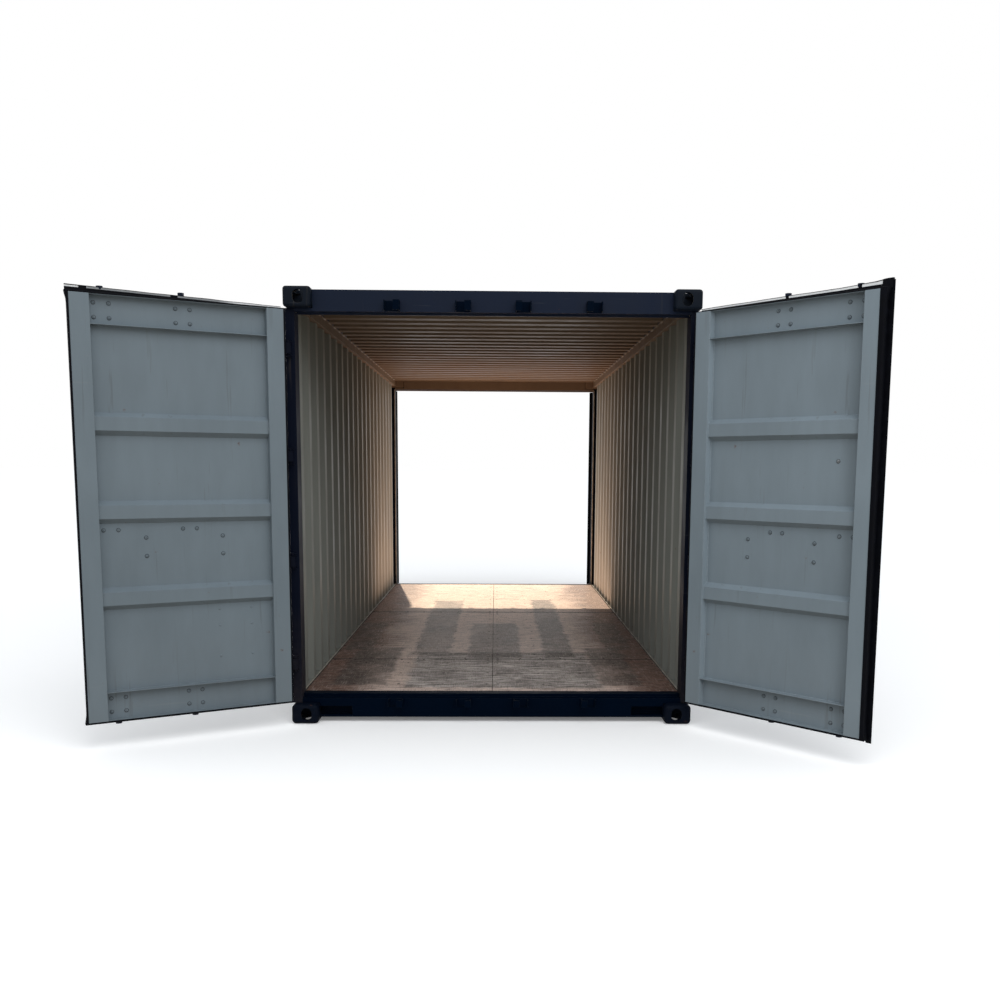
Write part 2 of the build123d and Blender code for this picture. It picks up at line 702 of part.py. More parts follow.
def locking_bar(s):
    """The turning tube with its cams, its hub and, hanging from the hub, its handle."""
    low = BOTTOM_KEEPER_HIGH - BOTTOM_CAM_IN_KEEPER - CAM_TALL
    high = TOP_KEEPER_LOW + TOP_CAM_IN_KEEPER
    ends = (low - BAR_PAST_CAM, high + CAM_TALL + BAR_PAST_CAM)
    bar = rod(s, BAR_OUT, ends, BAR_RADIUS)
    bar -= rod(s, BAR_OUT, (ends[0] + BAR_END_PLUG, ends[1] - BAR_END_PLUG), BAR_RADIUS - BAR_WALL)
    bar += cam(s, low) + cam(s, high)
    bar += rod(s, BAR_OUT, (HUB_HEIGHT - HUB_TALL / 2, HUB_HEIGHT + HUB_TALL / 2), HUB_RADIUS)
    bar -= rod(s, BAR_OUT, (HUB_HEIGHT - HUB_TALL, HUB_HEIGHT + HUB_TALL), BAR_RADIUS - BAR_WALL)
    pivot = BAR_OUT - HANDLE_FROM_BAR
    tip = pivot - CHEEK_OVERHANG
    gap = HANDLE_THICK / 2 + HANDLE_CLEARANCE
    root = BAR_OUT - BAR_RADIUS
    cheek_z = (HUB_HEIGHT - CHEEK_TALL / 2, HUB_HEIGHT + CHEEK_TALL / 2)
    for side in (-1, 1):
        bar += block((s + side * gap, s + side * (gap + CHEEK_THICK)), (tip, root), cheek_z)
    reach = gap + CHEEK_THICK
    bar += across_rod((s - reach, s + reach), pivot, HUB_HEIGHT, HANDLE_PIN_RADIUS)
    return [bar, handle(s, pivot)]


def handle(s, pivot):
    """A flat bar hanging from the hub, stepped outward at its grip."""
    half = HANDLE_WIDE / 2
    top = HUB_HEIGHT + half
    bottom = HUB_HEIGHT - HANDLE_LONG
    step = bottom + GRIP_LONG
    outline = [
        (pivot - half, top),
        (pivot - half, step + GRIP_OUT),
        (pivot - half - GRIP_OUT, step),
        (pivot - half - GRIP_OUT, bottom),
        (pivot + half - GRIP_OUT, bottom),
        (pivot + half - GRIP_OUT, step),
        (pivot + half, step + GRIP_OUT),
        (pivot + half, top),
    ]
    bar = along_x(outline, (s - HANDLE_THICK / 2, s + HANDLE_THICK / 2))
    hole = HANDLE_PIN_RADIUS + PIN_CLEARANCE
    return bar - across_rod((s - HANDLE_THICK, s + HANDLE_THICK), pivot, HUB_HEIGHT, hole)


def hang(door, shapes, shut=False):
    """Shapes from the leaf's own directions to where one door stands."""
    turn = 0.0 if shut else DOOR_ANGLES[door]
    end, side = door.split("_")
    mirrored = (end == "near") == (side == "right")
    placed = []
    for shape in shapes:
        shape = Rot(Z=-turn) * shape
        shape = Pos(-PIN_TO_CENTRE, -HALF_L + PIN_FROM_END, 0) * shape
        if mirrored:
            shape = mirror(shape, about=Plane.YZ)
        if end == "far":
            shape = Rot(Z=180) * shape
        placed.append(shape)
    return placed


def frame_nodes():
    """Everything that stays still."""
    brackets = []
    keeper_list = []
    for door in DOOR_ANGLES:
        brackets += hang(door, [hinge_bracket(z) for z in hinge_heights()], shut=True)
        keeper_list += hang(door, keepers(), shut=True)
    near_header, far_header = both_ends(header())
    near_sill, far_sill = both_ends(sill())
    right_rail, left_rail = both_sides(bottom_side_rail())
    right_top, left_top = both_sides(top_side_rail())
    right_wall, left_wall = both_sides(side_wall())
    return {
        "bottom_corner_fittings": four_corners(corner_fitting(top=False)),
        "top_corner_fittings": four_corners(corner_fitting(top=True)),
        "corner_posts": four_corners(corner_post()),
        "near_header": [near_header],
        "far_header": [far_header],
        "near_sill": [near_sill],
        "far_sill": [far_sill],
        "left_bottom_rail": [left_rail],
        "right_bottom_rail": [right_rail],
        "left_top_rail": [left_top],
        "right_top_rail": [right_top],
        "left_side_wall": [left_wall],
        "right_side_wall": [right_wall],
        "roof_panel": [roof_panel()],
        "roof_corner_plates": four_corners(roof_corner_plate()),
        "floor_boards": floor_boards(),
        "cross_members": cross_members(),
        "fork_pockets": [fork_pocket(side * POCKET_CENTRE) for side in (-1, 1)],
        "hinge_brackets": brackets,
        "cam_keepers": keeper_list,
    }


def door_nodes(door):
    """One leaf with its rubber and ironwork, and its two locking bars."""
    with_band = door in ("near_right", "far_left")
    nodes = {
        f"{door}_door_frame": hang(door, [leaf_frame()]),
        f"{door}_door_panel": hang(door, [leaf_panel()]),
        f"{door}_door_gasket": hang(door, [leaf_gasket(with_band)]),
        f"{door}_door_ironwork": hang(door, leaf_ironwork()),
    }
    for which in BAR_FROM_CENTRE:
        nodes[f"{door}_{which}_bar"] = hang(door, locking_bar(bar_along_leaf(which)))
    return nodes


def solids_of(shapes):
    return [solid for shape in shapes for solid in shape.solids()]


def main():
    os.makedirs("parts", exist_ok=True)
    nodes = frame_nodes()
    for door in DOOR_ANGLES:
        nodes.update(door_nodes(door))
    for name, shapes in nodes.items():
        export_step(Compound(solids_of(shapes)), f"parts/{name}.step")


main()
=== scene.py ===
# %% [markdown]
# # A freight container that opens at both ends
# The photograph looks straight in at one end of a six metre steel box, with the
# doors of both ends swung open. The CAD model already holds every real shape and
# size, so this lesson keeps its pieces where they are. It gives them paint, wood
# and rubber, and adds the small things that a camera sees and a drawing leaves
# out: bolt heads, weld beads, sealant, floor screws and the curling door seals.

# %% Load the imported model
import math
import random

import bmesh
import bpy
from mathutils import Matrix, Vector


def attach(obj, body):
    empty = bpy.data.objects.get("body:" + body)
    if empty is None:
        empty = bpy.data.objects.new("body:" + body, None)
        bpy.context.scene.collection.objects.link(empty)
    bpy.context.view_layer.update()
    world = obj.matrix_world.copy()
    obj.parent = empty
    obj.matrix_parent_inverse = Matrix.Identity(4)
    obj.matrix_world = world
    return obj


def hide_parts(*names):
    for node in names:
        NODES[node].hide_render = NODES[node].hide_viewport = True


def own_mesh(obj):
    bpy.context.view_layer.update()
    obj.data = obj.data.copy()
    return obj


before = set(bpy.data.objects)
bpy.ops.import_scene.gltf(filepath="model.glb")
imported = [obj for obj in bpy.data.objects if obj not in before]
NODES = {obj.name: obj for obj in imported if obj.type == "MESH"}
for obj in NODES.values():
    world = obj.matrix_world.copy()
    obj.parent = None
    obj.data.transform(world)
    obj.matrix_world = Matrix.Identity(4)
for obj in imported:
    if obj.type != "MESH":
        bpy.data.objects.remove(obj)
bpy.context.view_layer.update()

# %% [markdown]
# ## Sizes that the details need
# Everything added here sits on a CAD piece, so a few of its sizes are repeated
# once, in metres. A door leaf has its own three directions: how far a point is
# from the hinge pin, how far it is towards the cargo side, and its height. With
# these, one bolt pattern serves four doors that stand open at four angles.

# %% The container's sizes and the directions of a door leaf
MM = 0.001
PIN_X, PIN_Y = 1.196, 3.007
LEAF_LOW, LEAF_HIGH = 0.160, 2.446
LEAF_NEAR_PIN, LEAF_FREE = 0.046, 1.176
PANEL_START, PANEL_END = 0.142, 1.072
PANEL_LOW, PANEL_HIGH = 0.318, 2.290
OUTER_FACE, PANEL_FACE, WEB_FACE = 0.032, 0.034, 0.0352
RIB_HEIGHTS = (0.832, 1.304, 1.776)
RIB_HALF, RIB_RUN, RIB_RISE = 0.036, 0.026, 0.036
BARS = (1.010, 0.594)
GUIDES = (0.239, 1.206, 2.368)
FLOOR_TOP = 0.167
DOOR_ANGLES = {"near_left": 152.0, "near_right": 132.5, "far_left": 130.0, "far_right": 112.0}


class Leaf:
    """One door leaf as it stands open, with its own directions."""

    def __init__(self, door):
        side = -1 if door.endswith("left") else 1
        end = -1 if door.startswith("near") else 1
        turn = math.radians(DOOR_ANGLES[door])
        self.body = door + "_door"
        self.pin = Vector((side * PIN_X, end * PIN_Y, 0))
        self.along = Vector((-side * math.cos(turn), end * math.sin(turn), 0))
        self.inward = Vector((-side * math.sin(turn), -end * math.cos(turn), 0))

    def point(self, s, n, z):
        return self.pin + self.along * s + self.inward * n + Vector((0, 0, z))


LEAVES = {door: Leaf(door) for door in DOOR_ANGLES}
for door, leaf in LEAVES.items():
    print(door, "free edge at", [round(v, 3) for v in leaf.point(LEAF_FREE, 0, 0)[:2]])

# %% [markdown]
# ## A short way to write shader nodes
# A material is a small program drawn as boxes and wires. Writing each box by hand
# hides the recipe, so this helper adds a node, feeds its inputs with numbers or
# with other nodes, and hands back what comes out. Sizes in the recipes are per
# metre, because every texture reads the object's own coordinates.

# %% A helper that writes nodes into one tree


def paint(red, green, blue):
    """A screen colour from 0 to 255 as the linear colour that a shader wants."""
    parts = [c / 255 for c in (red, green, blue)]
    return tuple(c / 12.92 if c <= 0.04045 else ((c + 0.055) / 1.055) ** 2.4 for c in parts) + (1.0,)


class Recipe:
    """Adds nodes to one tree and wires them up as it goes."""

    def __init__(self, tree):
        self.tree = tree

    def node(self, kind, inputs=None, **settings):
        made = self.tree.nodes.new(kind)
        made.location = (200 * len(self.tree.nodes), 0)
        for name, value in settings.items():
            setattr(made, name, value)
        for key, value in (inputs or {}).items():
            self.feed(made.inputs[key], value)
        return made

    def feed(self, socket, value):
        if isinstance(value, bpy.types.NodeSocket):
            self.tree.links.new(value, socket)
        else:
            socket.default_value = value

    def math(self, operation, *values):
        return self.node("ShaderNodeMath", dict(enumerate(values)), operation=operation).outputs[0]

    def vector(self, operation, first, second):
        made = self.node("ShaderNodeVectorMath", {0: first, 1: second}, operation=operation)
        return made.outputs["Value" if operation == "DOT_PRODUCT" else "Vector"]

    def ramp(self, value, low, high, start=0.0, stop=1.0):
        """Turns low..high into start..stop, with soft ends."""
        ends = {"Value": value, "From Min": low, "From Max": high, "To Min": start, "To Max": stop}
        return self.node("ShaderNodeMapRange", ends, interpolation_type="SMOOTHSTEP").outputs[0]

    def noise(self, place, scale, detail=3.0, rough=0.55):
        ends = {"Vector": place, "Scale": scale, "Detail": detail, "Roughness": rough}
        return self.node("ShaderNodeTexNoise", ends).outputs["Fac"]

    def mix(self, factor, first, second):
        made = self.node("ShaderNodeMix", data_type="RGBA")
        for index, value in ((0, factor), (6, first), (7, second)):
            self.feed(made.inputs[index], value)
        return made.outputs[2]

    def split(self, place):
        return self.node("ShaderNodeSeparateXYZ", {0: place}).outputs

    def group(self, tree, **inputs):
        made = self.node("ShaderNodeGroup", node_tree=tree)
        for name, value in inputs.items():
            self.feed(made.inputs[name.replace("_", " ").capitalize()], value)
        return made.outputs


def shader_group(name, inputs, outputs):
    """A new node group with named sockets, its recipe and its input node's sockets."""
    tree = bpy.data.node_groups.new(name, "ShaderNodeTree")
    for label, kind, value in inputs:
        socket = tree.interface.new_socket(label, in_out="INPUT", socket_type="NodeSocket" + kind)
        socket.default_value = value
    for label, kind in outputs:
        tree.interface.new_socket(label, in_out="OUTPUT", socket_type="NodeSocket" + kind)
    recipe = Recipe(tree)
    return tree, recipe, recipe.node("NodeGroupInput").outputs


def empty_recipe(library, name):
    """A new material or world with nothing in its tree, and the recipe that fills it."""
    made = library.new(name)
    made.use_nodes = True
    made.node_tree.nodes.clear()
    return made, Recipe(made.node_tree)


GREY = (0.5, 0.5, 0.5, 1.0)
ORIGIN = (0.0, 0.0, 0.0)
print("helper ready")

# %% [markdown]
# ## Sprayed paint
# Container paint is sprayed in a hurry on blasted steel. Up close it has a fine
# orange peel, and from further off it is a little patchy, where coats overlap.
# The group takes one colour and gives back a varied colour, a roughness and a
# height for the peel. It is a group because every painted piece uses it.

# %% Group: sprayed paint
SPRAYED, r, given = shader_group(
    "sprayed paint",
    [("Colour", "Color", GREY), ("Place", "Vector", ORIGIN), ("Patchiness", "Float", 0.12)],
    [("Colour", "Color"), ("Roughness", "Float"), ("Height", "Float")],
)
coats = r.noise(given["Place"], 1.7, 2.0)
passes = r.noise(r.vector("MULTIPLY", given["Place"], (3.0, 3.0, 0.8)), 4.0, 3.0)
peel = r.noise(given["Place"], 260.0, 2.0)
patches = r.math("ADD", r.math("MULTIPLY", coats, 0.6), r.math("MULTIPLY", passes, 0.4))
swing = r.math("MULTIPLY", r.math("SUBTRACT", patches, 0.5), given["Patchiness"])
level = r.math("MULTIPLY_ADD", swing, 4.0, 1.0)
varied = r.node("ShaderNodeVectorMath", {0: given["Colour"], "Scale": level}, operation="SCALE").outputs[0]
r.node(
    "NodeGroupOutput",
    {"Colour": varied, "Roughness": r.ramp(patches, 0.3, 0.7, 0.42, 0.6), "Height": peel},
)
print("group:", SPRAYED.name)

# %% [markdown]
# ## Rust
# Steel rusts where the paint is chipped: small dark brown cores with a lighter
# orange stain round them. Two bands of one noise give the core and its stain, so
# they always sit together. Amount moves both thresholds at once.

# %% Group: rust spots
RUST, r, given = shader_group(
    "rust spots",
    [
        ("Colour", "Color", GREY),
        ("Place", "Vector", ORIGIN),
        ("Amount", "Float", 0.2),
        ("Size", "Float", 1.0),
    ],
    [("Colour", "Color"), ("Mask", "Float")],
)
scale = r.math("DIVIDE", 9.0, given["Size"])
spots = r.noise(given["Place"], scale, 6.0, 0.62)
where = r.noise(given["Place"], 0.9, 1.0)
threshold = r.math("SUBTRACT", 0.80, r.math("MULTIPLY", given["Amount"], 0.3))
edge = r.math("SUBTRACT", threshold, r.math("MULTIPLY", where, 0.12))
core = r.ramp(spots, r.math("ADD", edge, 0.03), r.math("ADD", edge, 0.05))
stain = r.ramp(spots, r.math("SUBTRACT", edge, 0.03), r.math("ADD", edge, 0.03))
stained = r.mix(r.math("MULTIPLY", stain, 0.4), given["Colour"], paint(96, 66, 48))
rusted = r.mix(core, stained, r.mix(r.noise(given["Place"], 90.0), paint(58, 38, 30), paint(92, 58, 40)))
r.node("NodeGroupOutput", {"Colour": rusted, "Mask": core})
print("group:", RUST.name)

# %% [markdown]
# ## Dust that settles low
# Feet, wheels and rain leave a dull film near the ground. The group fades a dust
# colour in between two heights and breaks its upper edge with noise. Metal keeps
# its gloss above and turns matt below, so the mask goes out too.

# %% Group: dust film
DUST, r, given = shader_group(
    "dust film",
    [
        ("Colour", "Color", GREY),
        ("Place", "Vector", ORIGIN),
        ("Dust", "Color", paint(118, 104, 90)),
        ("Low", "Float", 0.2),
        ("High", "Float", 0.8),
        ("Amount", "Float", 0.3),
    ],
    [("Colour", "Color"), ("Mask", "Float")],
)
height = r.split(given["Place"])[2]
uneven = r.math("MULTIPLY_ADD", r.noise(given["Place"], 3.0, 4.0), 0.5, -0.25)
fade = r.node(
    "ShaderNodeMapRange",
    {"Value": r.math("ADD", height, uneven), "From Min": given["High"], "From Max": given["Low"]},
).outputs[0]
specks = r.ramp(r.noise(given["Place"], 45.0, 3.0), 0.35, 0.65, 0.6, 1.0)
film = r.math("MULTIPLY", r.math("MULTIPLY", fade, specks), given["Amount"])
r.node("NodeGroupOutput", {"Colour": r.mix(film, given["Colour"], given["Dust"]), "Mask": film})
print("group:", DUST.name)

# %% [markdown]
# ## Worn edges
# Rolled and folded steel has round edges, and paint is thin there. The Bevel node
# reads the surface as if its edges were rounded, which gives a normal that
# catches the light and, compared with the true normal, a mask of the edges.

# %% Group: worn edges
EDGES, r, given = shader_group(
    "worn edges",
    [
        ("Colour", "Color", GREY),
        ("Place", "Vector", ORIGIN),
        ("Bare", "Color", paint(120, 120, 118)),
        ("Amount", "Float", 0.3),
    ],
    [("Colour", "Color"), ("Normal", "Vector")],
)
rounded = r.node("ShaderNodeBevel", {"Radius": 3 * MM}, samples=4).outputs[0]
flat = r.node("ShaderNodeNewGeometry").outputs["Normal"]
bend = r.ramp(r.vector("DOT_PRODUCT", rounded, flat), 0.99, 0.90)
broken = r.ramp(r.noise(given["Place"], 38.0, 5.0, 0.65), 0.42, 0.60)
worn = r.math("MULTIPLY", r.math("MULTIPLY", bend, broken), given["Amount"])
r.node(
    "NodeGroupOutput",
    {"Colour": r.mix(worn, given["Colour"], given["Bare"]), "Normal": rounded},
)
print("group:", EDGES.name)

# %% [markdown]
# ## Streaks and scuffs
# Rain pulls dirt straight down, and cargo scrapes pale lines along. Both are
# noise that is squeezed in two directions: tall and narrow for rain, long and low
# for scrapes. One group makes either, from the squeeze that it is given.

# %% Group: marks drawn out by rain or cargo
MARKS, r, given = shader_group(
    "drawn out marks",
    [
        ("Colour", "Color", GREY),
        ("Place", "Vector", ORIGIN),
        ("Squeeze", "Vector", (30.0, 30.0, 1.2)),
        ("Mark", "Color", paint(70, 66, 60)),
        ("Rarity", "Float", 0.6),
        ("Amount", "Float", 0.3),
    ],
    [("Colour", "Color")],
)
drawn = r.noise(r.vector("MULTIPLY", given["Place"], given["Squeeze"]), 1.0, 4.0, 0.6)
area = r.ramp(r.noise(given["Place"], 1.3, 2.0), 0.40, 0.62)
line = r.ramp(drawn, given["Rarity"], r.math("ADD", given["Rarity"], 0.06))
mark = r.math("MULTIPLY", r.math("MULTIPLY", line, area), given["Amount"])
r.node("NodeGroupOutput", {"Colour": r.mix(mark, given["Colour"], given["Mark"])})
print("group:", MARKS.name)

# %% [markdown]
# ## Where a point is on its door
# A door turns, but its stains turn with it. This group changes an object place
# into the leaf's own place: distance from the pin, depth towards the cargo and
# height. It also says how far the surface faces the cargo side, which decides
# whether it got the pale inside paint or the dark outside one.

# %% Group: place on a leaf
LEAF_PLACE, r, given = shader_group(
    "leaf place",
    [
        ("Pin", "Vector", ORIGIN),
        ("Along", "Vector", (1.0, 0.0, 0.0)),
        ("Inward", "Vector", (0.0, 1.0, 0.0)),
    ],
    [("Place", "Vector"), ("Facing", "Float")],
)
coordinates = r.node("ShaderNodeTexCoord").outputs
offset = r.vector("SUBTRACT", coordinates["Object"], given["Pin"])
own = r.node(
    "ShaderNodeCombineXYZ",
    {
        0: r.vector("DOT_PRODUCT", offset, given["Along"]),
        1: r.vector("DOT_PRODUCT", offset, given["Inward"]),
        2: r.split(offset)[2],
    },
).outputs[0]
r.node(
    "NodeGroupOutput",
    {"Place": own, "Facing": r.vector("DOT_PRODUCT", coordinates["Normal"], given["Inward"])},
)
print("group:", LEAF_PLACE.name)

# %% [markdown]
# ## One recipe for painted steel
# All painted pieces share the order of a real surface: paint, then rain streaks
# and scrapes, then rust, then dust, and last the worn edges. The function takes
# the two paints, a mask that chooses between them, and how used the piece is.

# %% A painted steel material
NAVY = paint(8, 20, 39)
# Darker than NAVY: painted shade for the posts, hinges and ironwork that stand in shade.
POST_NAVY_PAINTED_SHADE = paint(8, 13, 26)
# The deepest navy, for sills, keepers, bottom rails and bottom castings: painted shade on the low parts.
DEEP_NAVY_PAINTED_SHADE = paint(0, 9, 24)
# Charcoal navy of the top castings, made darker as painted shade so that their holes read dark.
CHARCOAL_NAVY_WITH_PAINTED_SHADE = paint(10, 18, 28)
DOOR_GREY = paint(110, 122, 130)
HOLD_GREY = paint(124, 127, 122)
# Browner grey for the inside of roof, rails, headers and castings: painted warm bounce light from the floor.
GREY_WARMED_AS_PAINTED_BOUNCE = paint(106, 92, 77)
DARK_BARE = paint(120, 120, 118)
# Pale edges of the door frames: partly worn paint and partly a painted highlight on the rounded edges.
PALE_BARE_AND_EDGE_HIGHLIGHT = paint(178, 182, 184)
UNDERCOAT = paint(24, 24, 24)
SCRAPE_PALE = paint(150, 150, 146)
SCRAPE_SQUEEZE = (2.0, 2.0, 60.0)
RUST_MATT, DUST_MATT = 0.3, 0.25
PEEL_DEPTH = 0.4 * MM


def painted(
    name,
    outside,
    inside=None,
    side=None,
    leaf=None,
    rust=0.05,
    dust=0.08,
    wear=0.3,
    scrapes=0.12,
    streaks=0.22,
    bare=DARK_BARE,
    shine=0.12,
):
    """A painted material. side writes the mask of the inside paint, and leaf is a door's own place."""
    material, r = empty_recipe(bpy.data.materials, name)
    coordinates = r.node("ShaderNodeTexCoord").outputs
    place, facing = coordinates["Object"], coordinates["Normal"]
    if leaf:
        own = r.group(LEAF_PLACE, pin=leaf.pin, along=leaf.along, inward=leaf.inward)
        place, facing = own["Place"], own["Facing"]
    colour = outside
    if inside:
        colour = r.mix(side(r, place, facing), outside, inside)
    coat = r.group(SPRAYED, colour=colour, place=place)
    colour = r.group(MARKS, colour=coat["Colour"], place=place, amount=streaks)["Colour"]
    colour = r.group(
        MARKS,
        colour=colour,
        place=place,
        squeeze=SCRAPE_SQUEEZE,
        mark=SCRAPE_PALE,
        rarity=0.66,
        amount=scrapes,
    )["Colour"]
    spots = r.group(RUST, colour=colour, place=place, amount=rust, size=0.6)
    film = r.group(DUST, colour=spots["Colour"], place=place, low=0.0, high=0.75, amount=dust)
    worn = r.group(EDGES, colour=film["Colour"], place=place, bare=bare, amount=wear)
    rust_matt = r.math("MULTIPLY", spots["Mask"], RUST_MATT)
    matt = r.math("ADD", rust_matt, r.math("MULTIPLY", film["Mask"], DUST_MATT))
    bump = r.node(
        "ShaderNodeBump",
        {"Strength": 0.25, "Distance": PEEL_DEPTH, "Height": coat["Height"], "Normal": worn["Normal"]},
    )
    shader = r.node(
        "ShaderNodeBsdfPrincipled",
        {
            "Base Color": worn["Colour"],
            "Roughness": r.math("ADD", coat["Roughness"], matt),
            "Specular IOR Level": shine,
            "Normal": bump.outputs[0],
        },
    )
    r.node("ShaderNodeOutputMaterial", {"Surface": shader.outputs[0]})
    return material


def dress(node, material):
    """Gives a CAD node a material in every slot that its mesh has."""
    mesh_object = NODES[node]
    for slot in mesh_object.material_slots:
        slot.link = "OBJECT"
        slot.material = material
    if not mesh_object.material_slots:
        mesh_object.data.materials.append(material)


print("paints ready")

# %% [markdown]
# ## Which side a sheet was painted on
# Walls, roof, rails and headers are one sheet of steel with navy outside and grey
# inside. The grey of the roof, rails and headers is painted browner than that of the
# walls, as painted warm light thrown up from the brown floor.
# The side is read from the way the surface faces: towards the middle of the hold is
# inside. Each shape needs its own test, and they are all short.

# %% Masks of the inside paint
# How far a surface has to face a way to count: slightly for bent sheets, squarely for flat ones.
SLIGHTLY, SQUARELY = 0.05, 0.5


def faces_middle_x(r, place, facing):
    return r.math("LESS_THAN", r.math("MULTIPLY", r.split(place)[0], r.split(facing)[0]), -SLIGHTLY)


def faces_down(r, place, facing):
    return r.math("LESS_THAN", r.split(facing)[2], -SLIGHTLY)


def faces_middle_y(r, place, facing):
    return r.math("LESS_THAN", r.math("MULTIPLY", r.split(place)[1], r.split(facing)[1]), -SQUARELY)


def faces_up(r, place, facing):
    return r.math("GREATER_THAN", r.split(facing)[2], SQUARELY)


def faces_rail_hold(r, place, facing):
    return r.math("MAXIMUM", faces_middle_x(r, place, facing), faces_down(r, place, facing))


def faces_cargo(r, place, facing):
    return r.math("GREATER_THAN", facing, SLIGHTLY)


def behind_skin(r, place, facing):
    """Everything deeper than the outer skin of a door frame, and every face towards the cargo."""
    deep = r.math("GREATER_THAN", r.split(place)[1], OUTER_FACE + 1 * MM)
    return r.math("MAXIMUM", deep, faces_cargo(r, place, facing))


print("masks ready")

# %% [markdown]
# ## Painting the fixed frame
# Posts, hinges, sills and keepers are navy all round, painted a little darker
# than the header's navy as painted shade, for the shade they stand in. Walls,
# roof, rails and headers take two paints and a mask. The underside is coated with
# black bitumen against the wet of the road.

# %% Paint the fixed frame
navy = painted("navy paint", NAVY)
# Posts, hinges and door ironwork take the darker navy of painted shade.
post_paint_painted_shade = painted("post paint", POST_NAVY_PAINTED_SHADE, rust=0.0, wear=0.05, scrapes=0.05, shine=0.05)
# Sills and keepers are painted near black as painted shade, since in this light they would render as light
# as the header.
low_paint_painted_shade = painted(
    "sill paint", DEEP_NAVY_PAINTED_SHADE, rust=0.0, dust=0.0, wear=0.1, scrapes=0.04, streaks=0.0, shine=0.02
)
# The bottom rail's outside takes the near-black navy of painted shade.
sides_navy = painted("bottom rail paint", DEEP_NAVY_PAINTED_SHADE, HOLD_GREY, faces_up, rust=0.1, shine=0.05)
for node in ("corner_posts", "hinge_brackets"):
    dress(node, post_paint_painted_shade)
for node in ("near_sill", "far_sill", "cam_keepers"):
    dress(node, low_paint_painted_shade)
# The grey inside the headers, rails and roof is the browner one of painted bounce light.
header_paint = painted(
    "header paint, navy and grey", NAVY, GREY_WARMED_AS_PAINTED_BOUNCE, faces_middle_y, dust=0.0, scrapes=0.06, streaks=0.08
)
rail_paint = painted("top rail paint, navy and grey", NAVY, GREY_WARMED_AS_PAINTED_BOUNCE, faces_rail_hold)
wall_paint = painted("wall paint, navy and grey", NAVY, HOLD_GREY, faces_middle_x)
roof_paint = painted("roof paint, navy and grey", NAVY, GREY_WARMED_AS_PAINTED_BOUNCE, faces_down)
for node in ("near_header", "far_header"):
    dress(node, header_paint)
for side in ("left", "right"):
    dress(side + "_top_rail", rail_paint)
    dress(side + "_side_wall", wall_paint)
    dress(side + "_bottom_rail", sides_navy)
dress("roof_panel", roof_paint)
dress("roof_corner_plates", roof_paint)
black_underbody = painted("bitumen underbody", UNDERCOAT, rust=0.5, dust=0.5, wear=0.1)
for node in ("cross_members", "fork_pockets"):
    dress(node, black_underbody)
print("frame painted")

# %% [markdown]
# ## The doors
# Each leaf gets its own copy of the door paint, because the recipe needs that
# leaf's pin and directions. The bars and ironwork turn with the door or about
# their own line, and are navy all round.

# %% Paint the doors
door_materials = {}
for door, leaf in LEAVES.items():
    # The frame's edges take the pale colour, partly wear and partly a painted edge highlight.
    frame_paint = painted(
        door + " frame paint", NAVY, DOOR_GREY, behind_skin, leaf, wear=0.25, bare=PALE_BARE_AND_EDGE_HIGHLIGHT
    )
    panel_paint = painted(door + " panel paint", NAVY, DOOR_GREY, faces_cargo, leaf)
    door_materials[door] = frame_paint
    dress(door + "_door_frame", frame_paint)
    dress(door + "_door_panel", panel_paint)
    dress(door + "_door_ironwork", post_paint_painted_shade)
    for piece in ("_inner_bar", "_outer_bar"):
        dress(door + piece, navy)
print("doors painted:", list(door_materials))

# %% [markdown]
# ## The plywood floor
# The floor is thick plywood, coated red brown, with its grain across the
# container. Years of pallets have worn grey lanes into it, which show as soft
# rectangles. One group draws such a rectangle, and the floor places one for each
# lane, so their places stay readable as plain numbers.

# %% Group: a worn lane
LANE, r, given = shader_group(
    "worn lane",
    [
        ("Place", "Vector", ORIGIN),
        ("Centre", "Vector", ORIGIN),
        ("Half size", "Vector", (0.2, 0.8, 1.0)),
        ("Soft", "Float", 0.03),
    ],
    [("Mask", "Float")],
)
wobble = r.math("MULTIPLY_ADD", r.noise(given["Place"], 7.0, 4.0), 0.12, -0.06)
away = r.node(
    "ShaderNodeVectorMath", {0: r.vector("SUBTRACT", given["Place"], given["Centre"])}, operation="ABSOLUTE"
).outputs[0]
beyond = r.split(r.vector("SUBTRACT", away, given["Half size"]))
outside_by = r.math("ADD", r.math("MAXIMUM", beyond[0], beyond[1]), wobble)
inside_by = r.math("MULTIPLY", given["Soft"], -1.0)
r.node("NodeGroupOutput", {"Mask": r.ramp(outside_by, given["Soft"], inside_by)})
print("group:", LANE.name)

# %% [markdown]
# ## Wood and what years did to it
# The recipe follows the order in which the marks came. First the grain, paler in
# the worn middle than along the walls, partly wear and partly a painted sheen,
# then the greyed boards near the doorway, the lanes, the scratches both ways,
# short dark dashes, and dirt in the seams.

# %% The plywood material
# Each lane is its middle across and along, half its width and length, and how dark it is.
LANES = (
    ((-1.04, -0.78), (0.11, 0.66), 0.70),
    ((-0.86, -2.02), (0.17, 0.66), 0.80),
    ((-0.46, -0.10), (0.14, 1.48), 0.80),
    ((0.01, -0.95), (0.20, 0.80), 0.78),
    ((0.50, -0.15), (0.11, 1.60), 0.85),
    ((0.98, -0.78), (0.10, 0.66), 0.70),
    ((0.84, -2.02), (0.13, 0.66), 0.80),
)
SEAMS = (-1.812, 0.558)
SEAM_DIRT = (0.014, 0.030)
GREYED_MIDDLE = ((0.07, -2.16), (0.63, 0.60))
FRONT_BAND = ((0.05, -1.60), (0.68, 0.07))
LANE_SOFT, WEAR_SOFT, EVERY_HEIGHT = 0.022, 0.03, 9.0
GRAIN_DEPTH = 1.2 * MM
plywood, r = empty_recipe(bpy.data.materials, "coated plywood")
place = r.node("ShaderNodeTexCoord").outputs["Object"]
across, along = r.split(place)[0], r.split(place)[1]


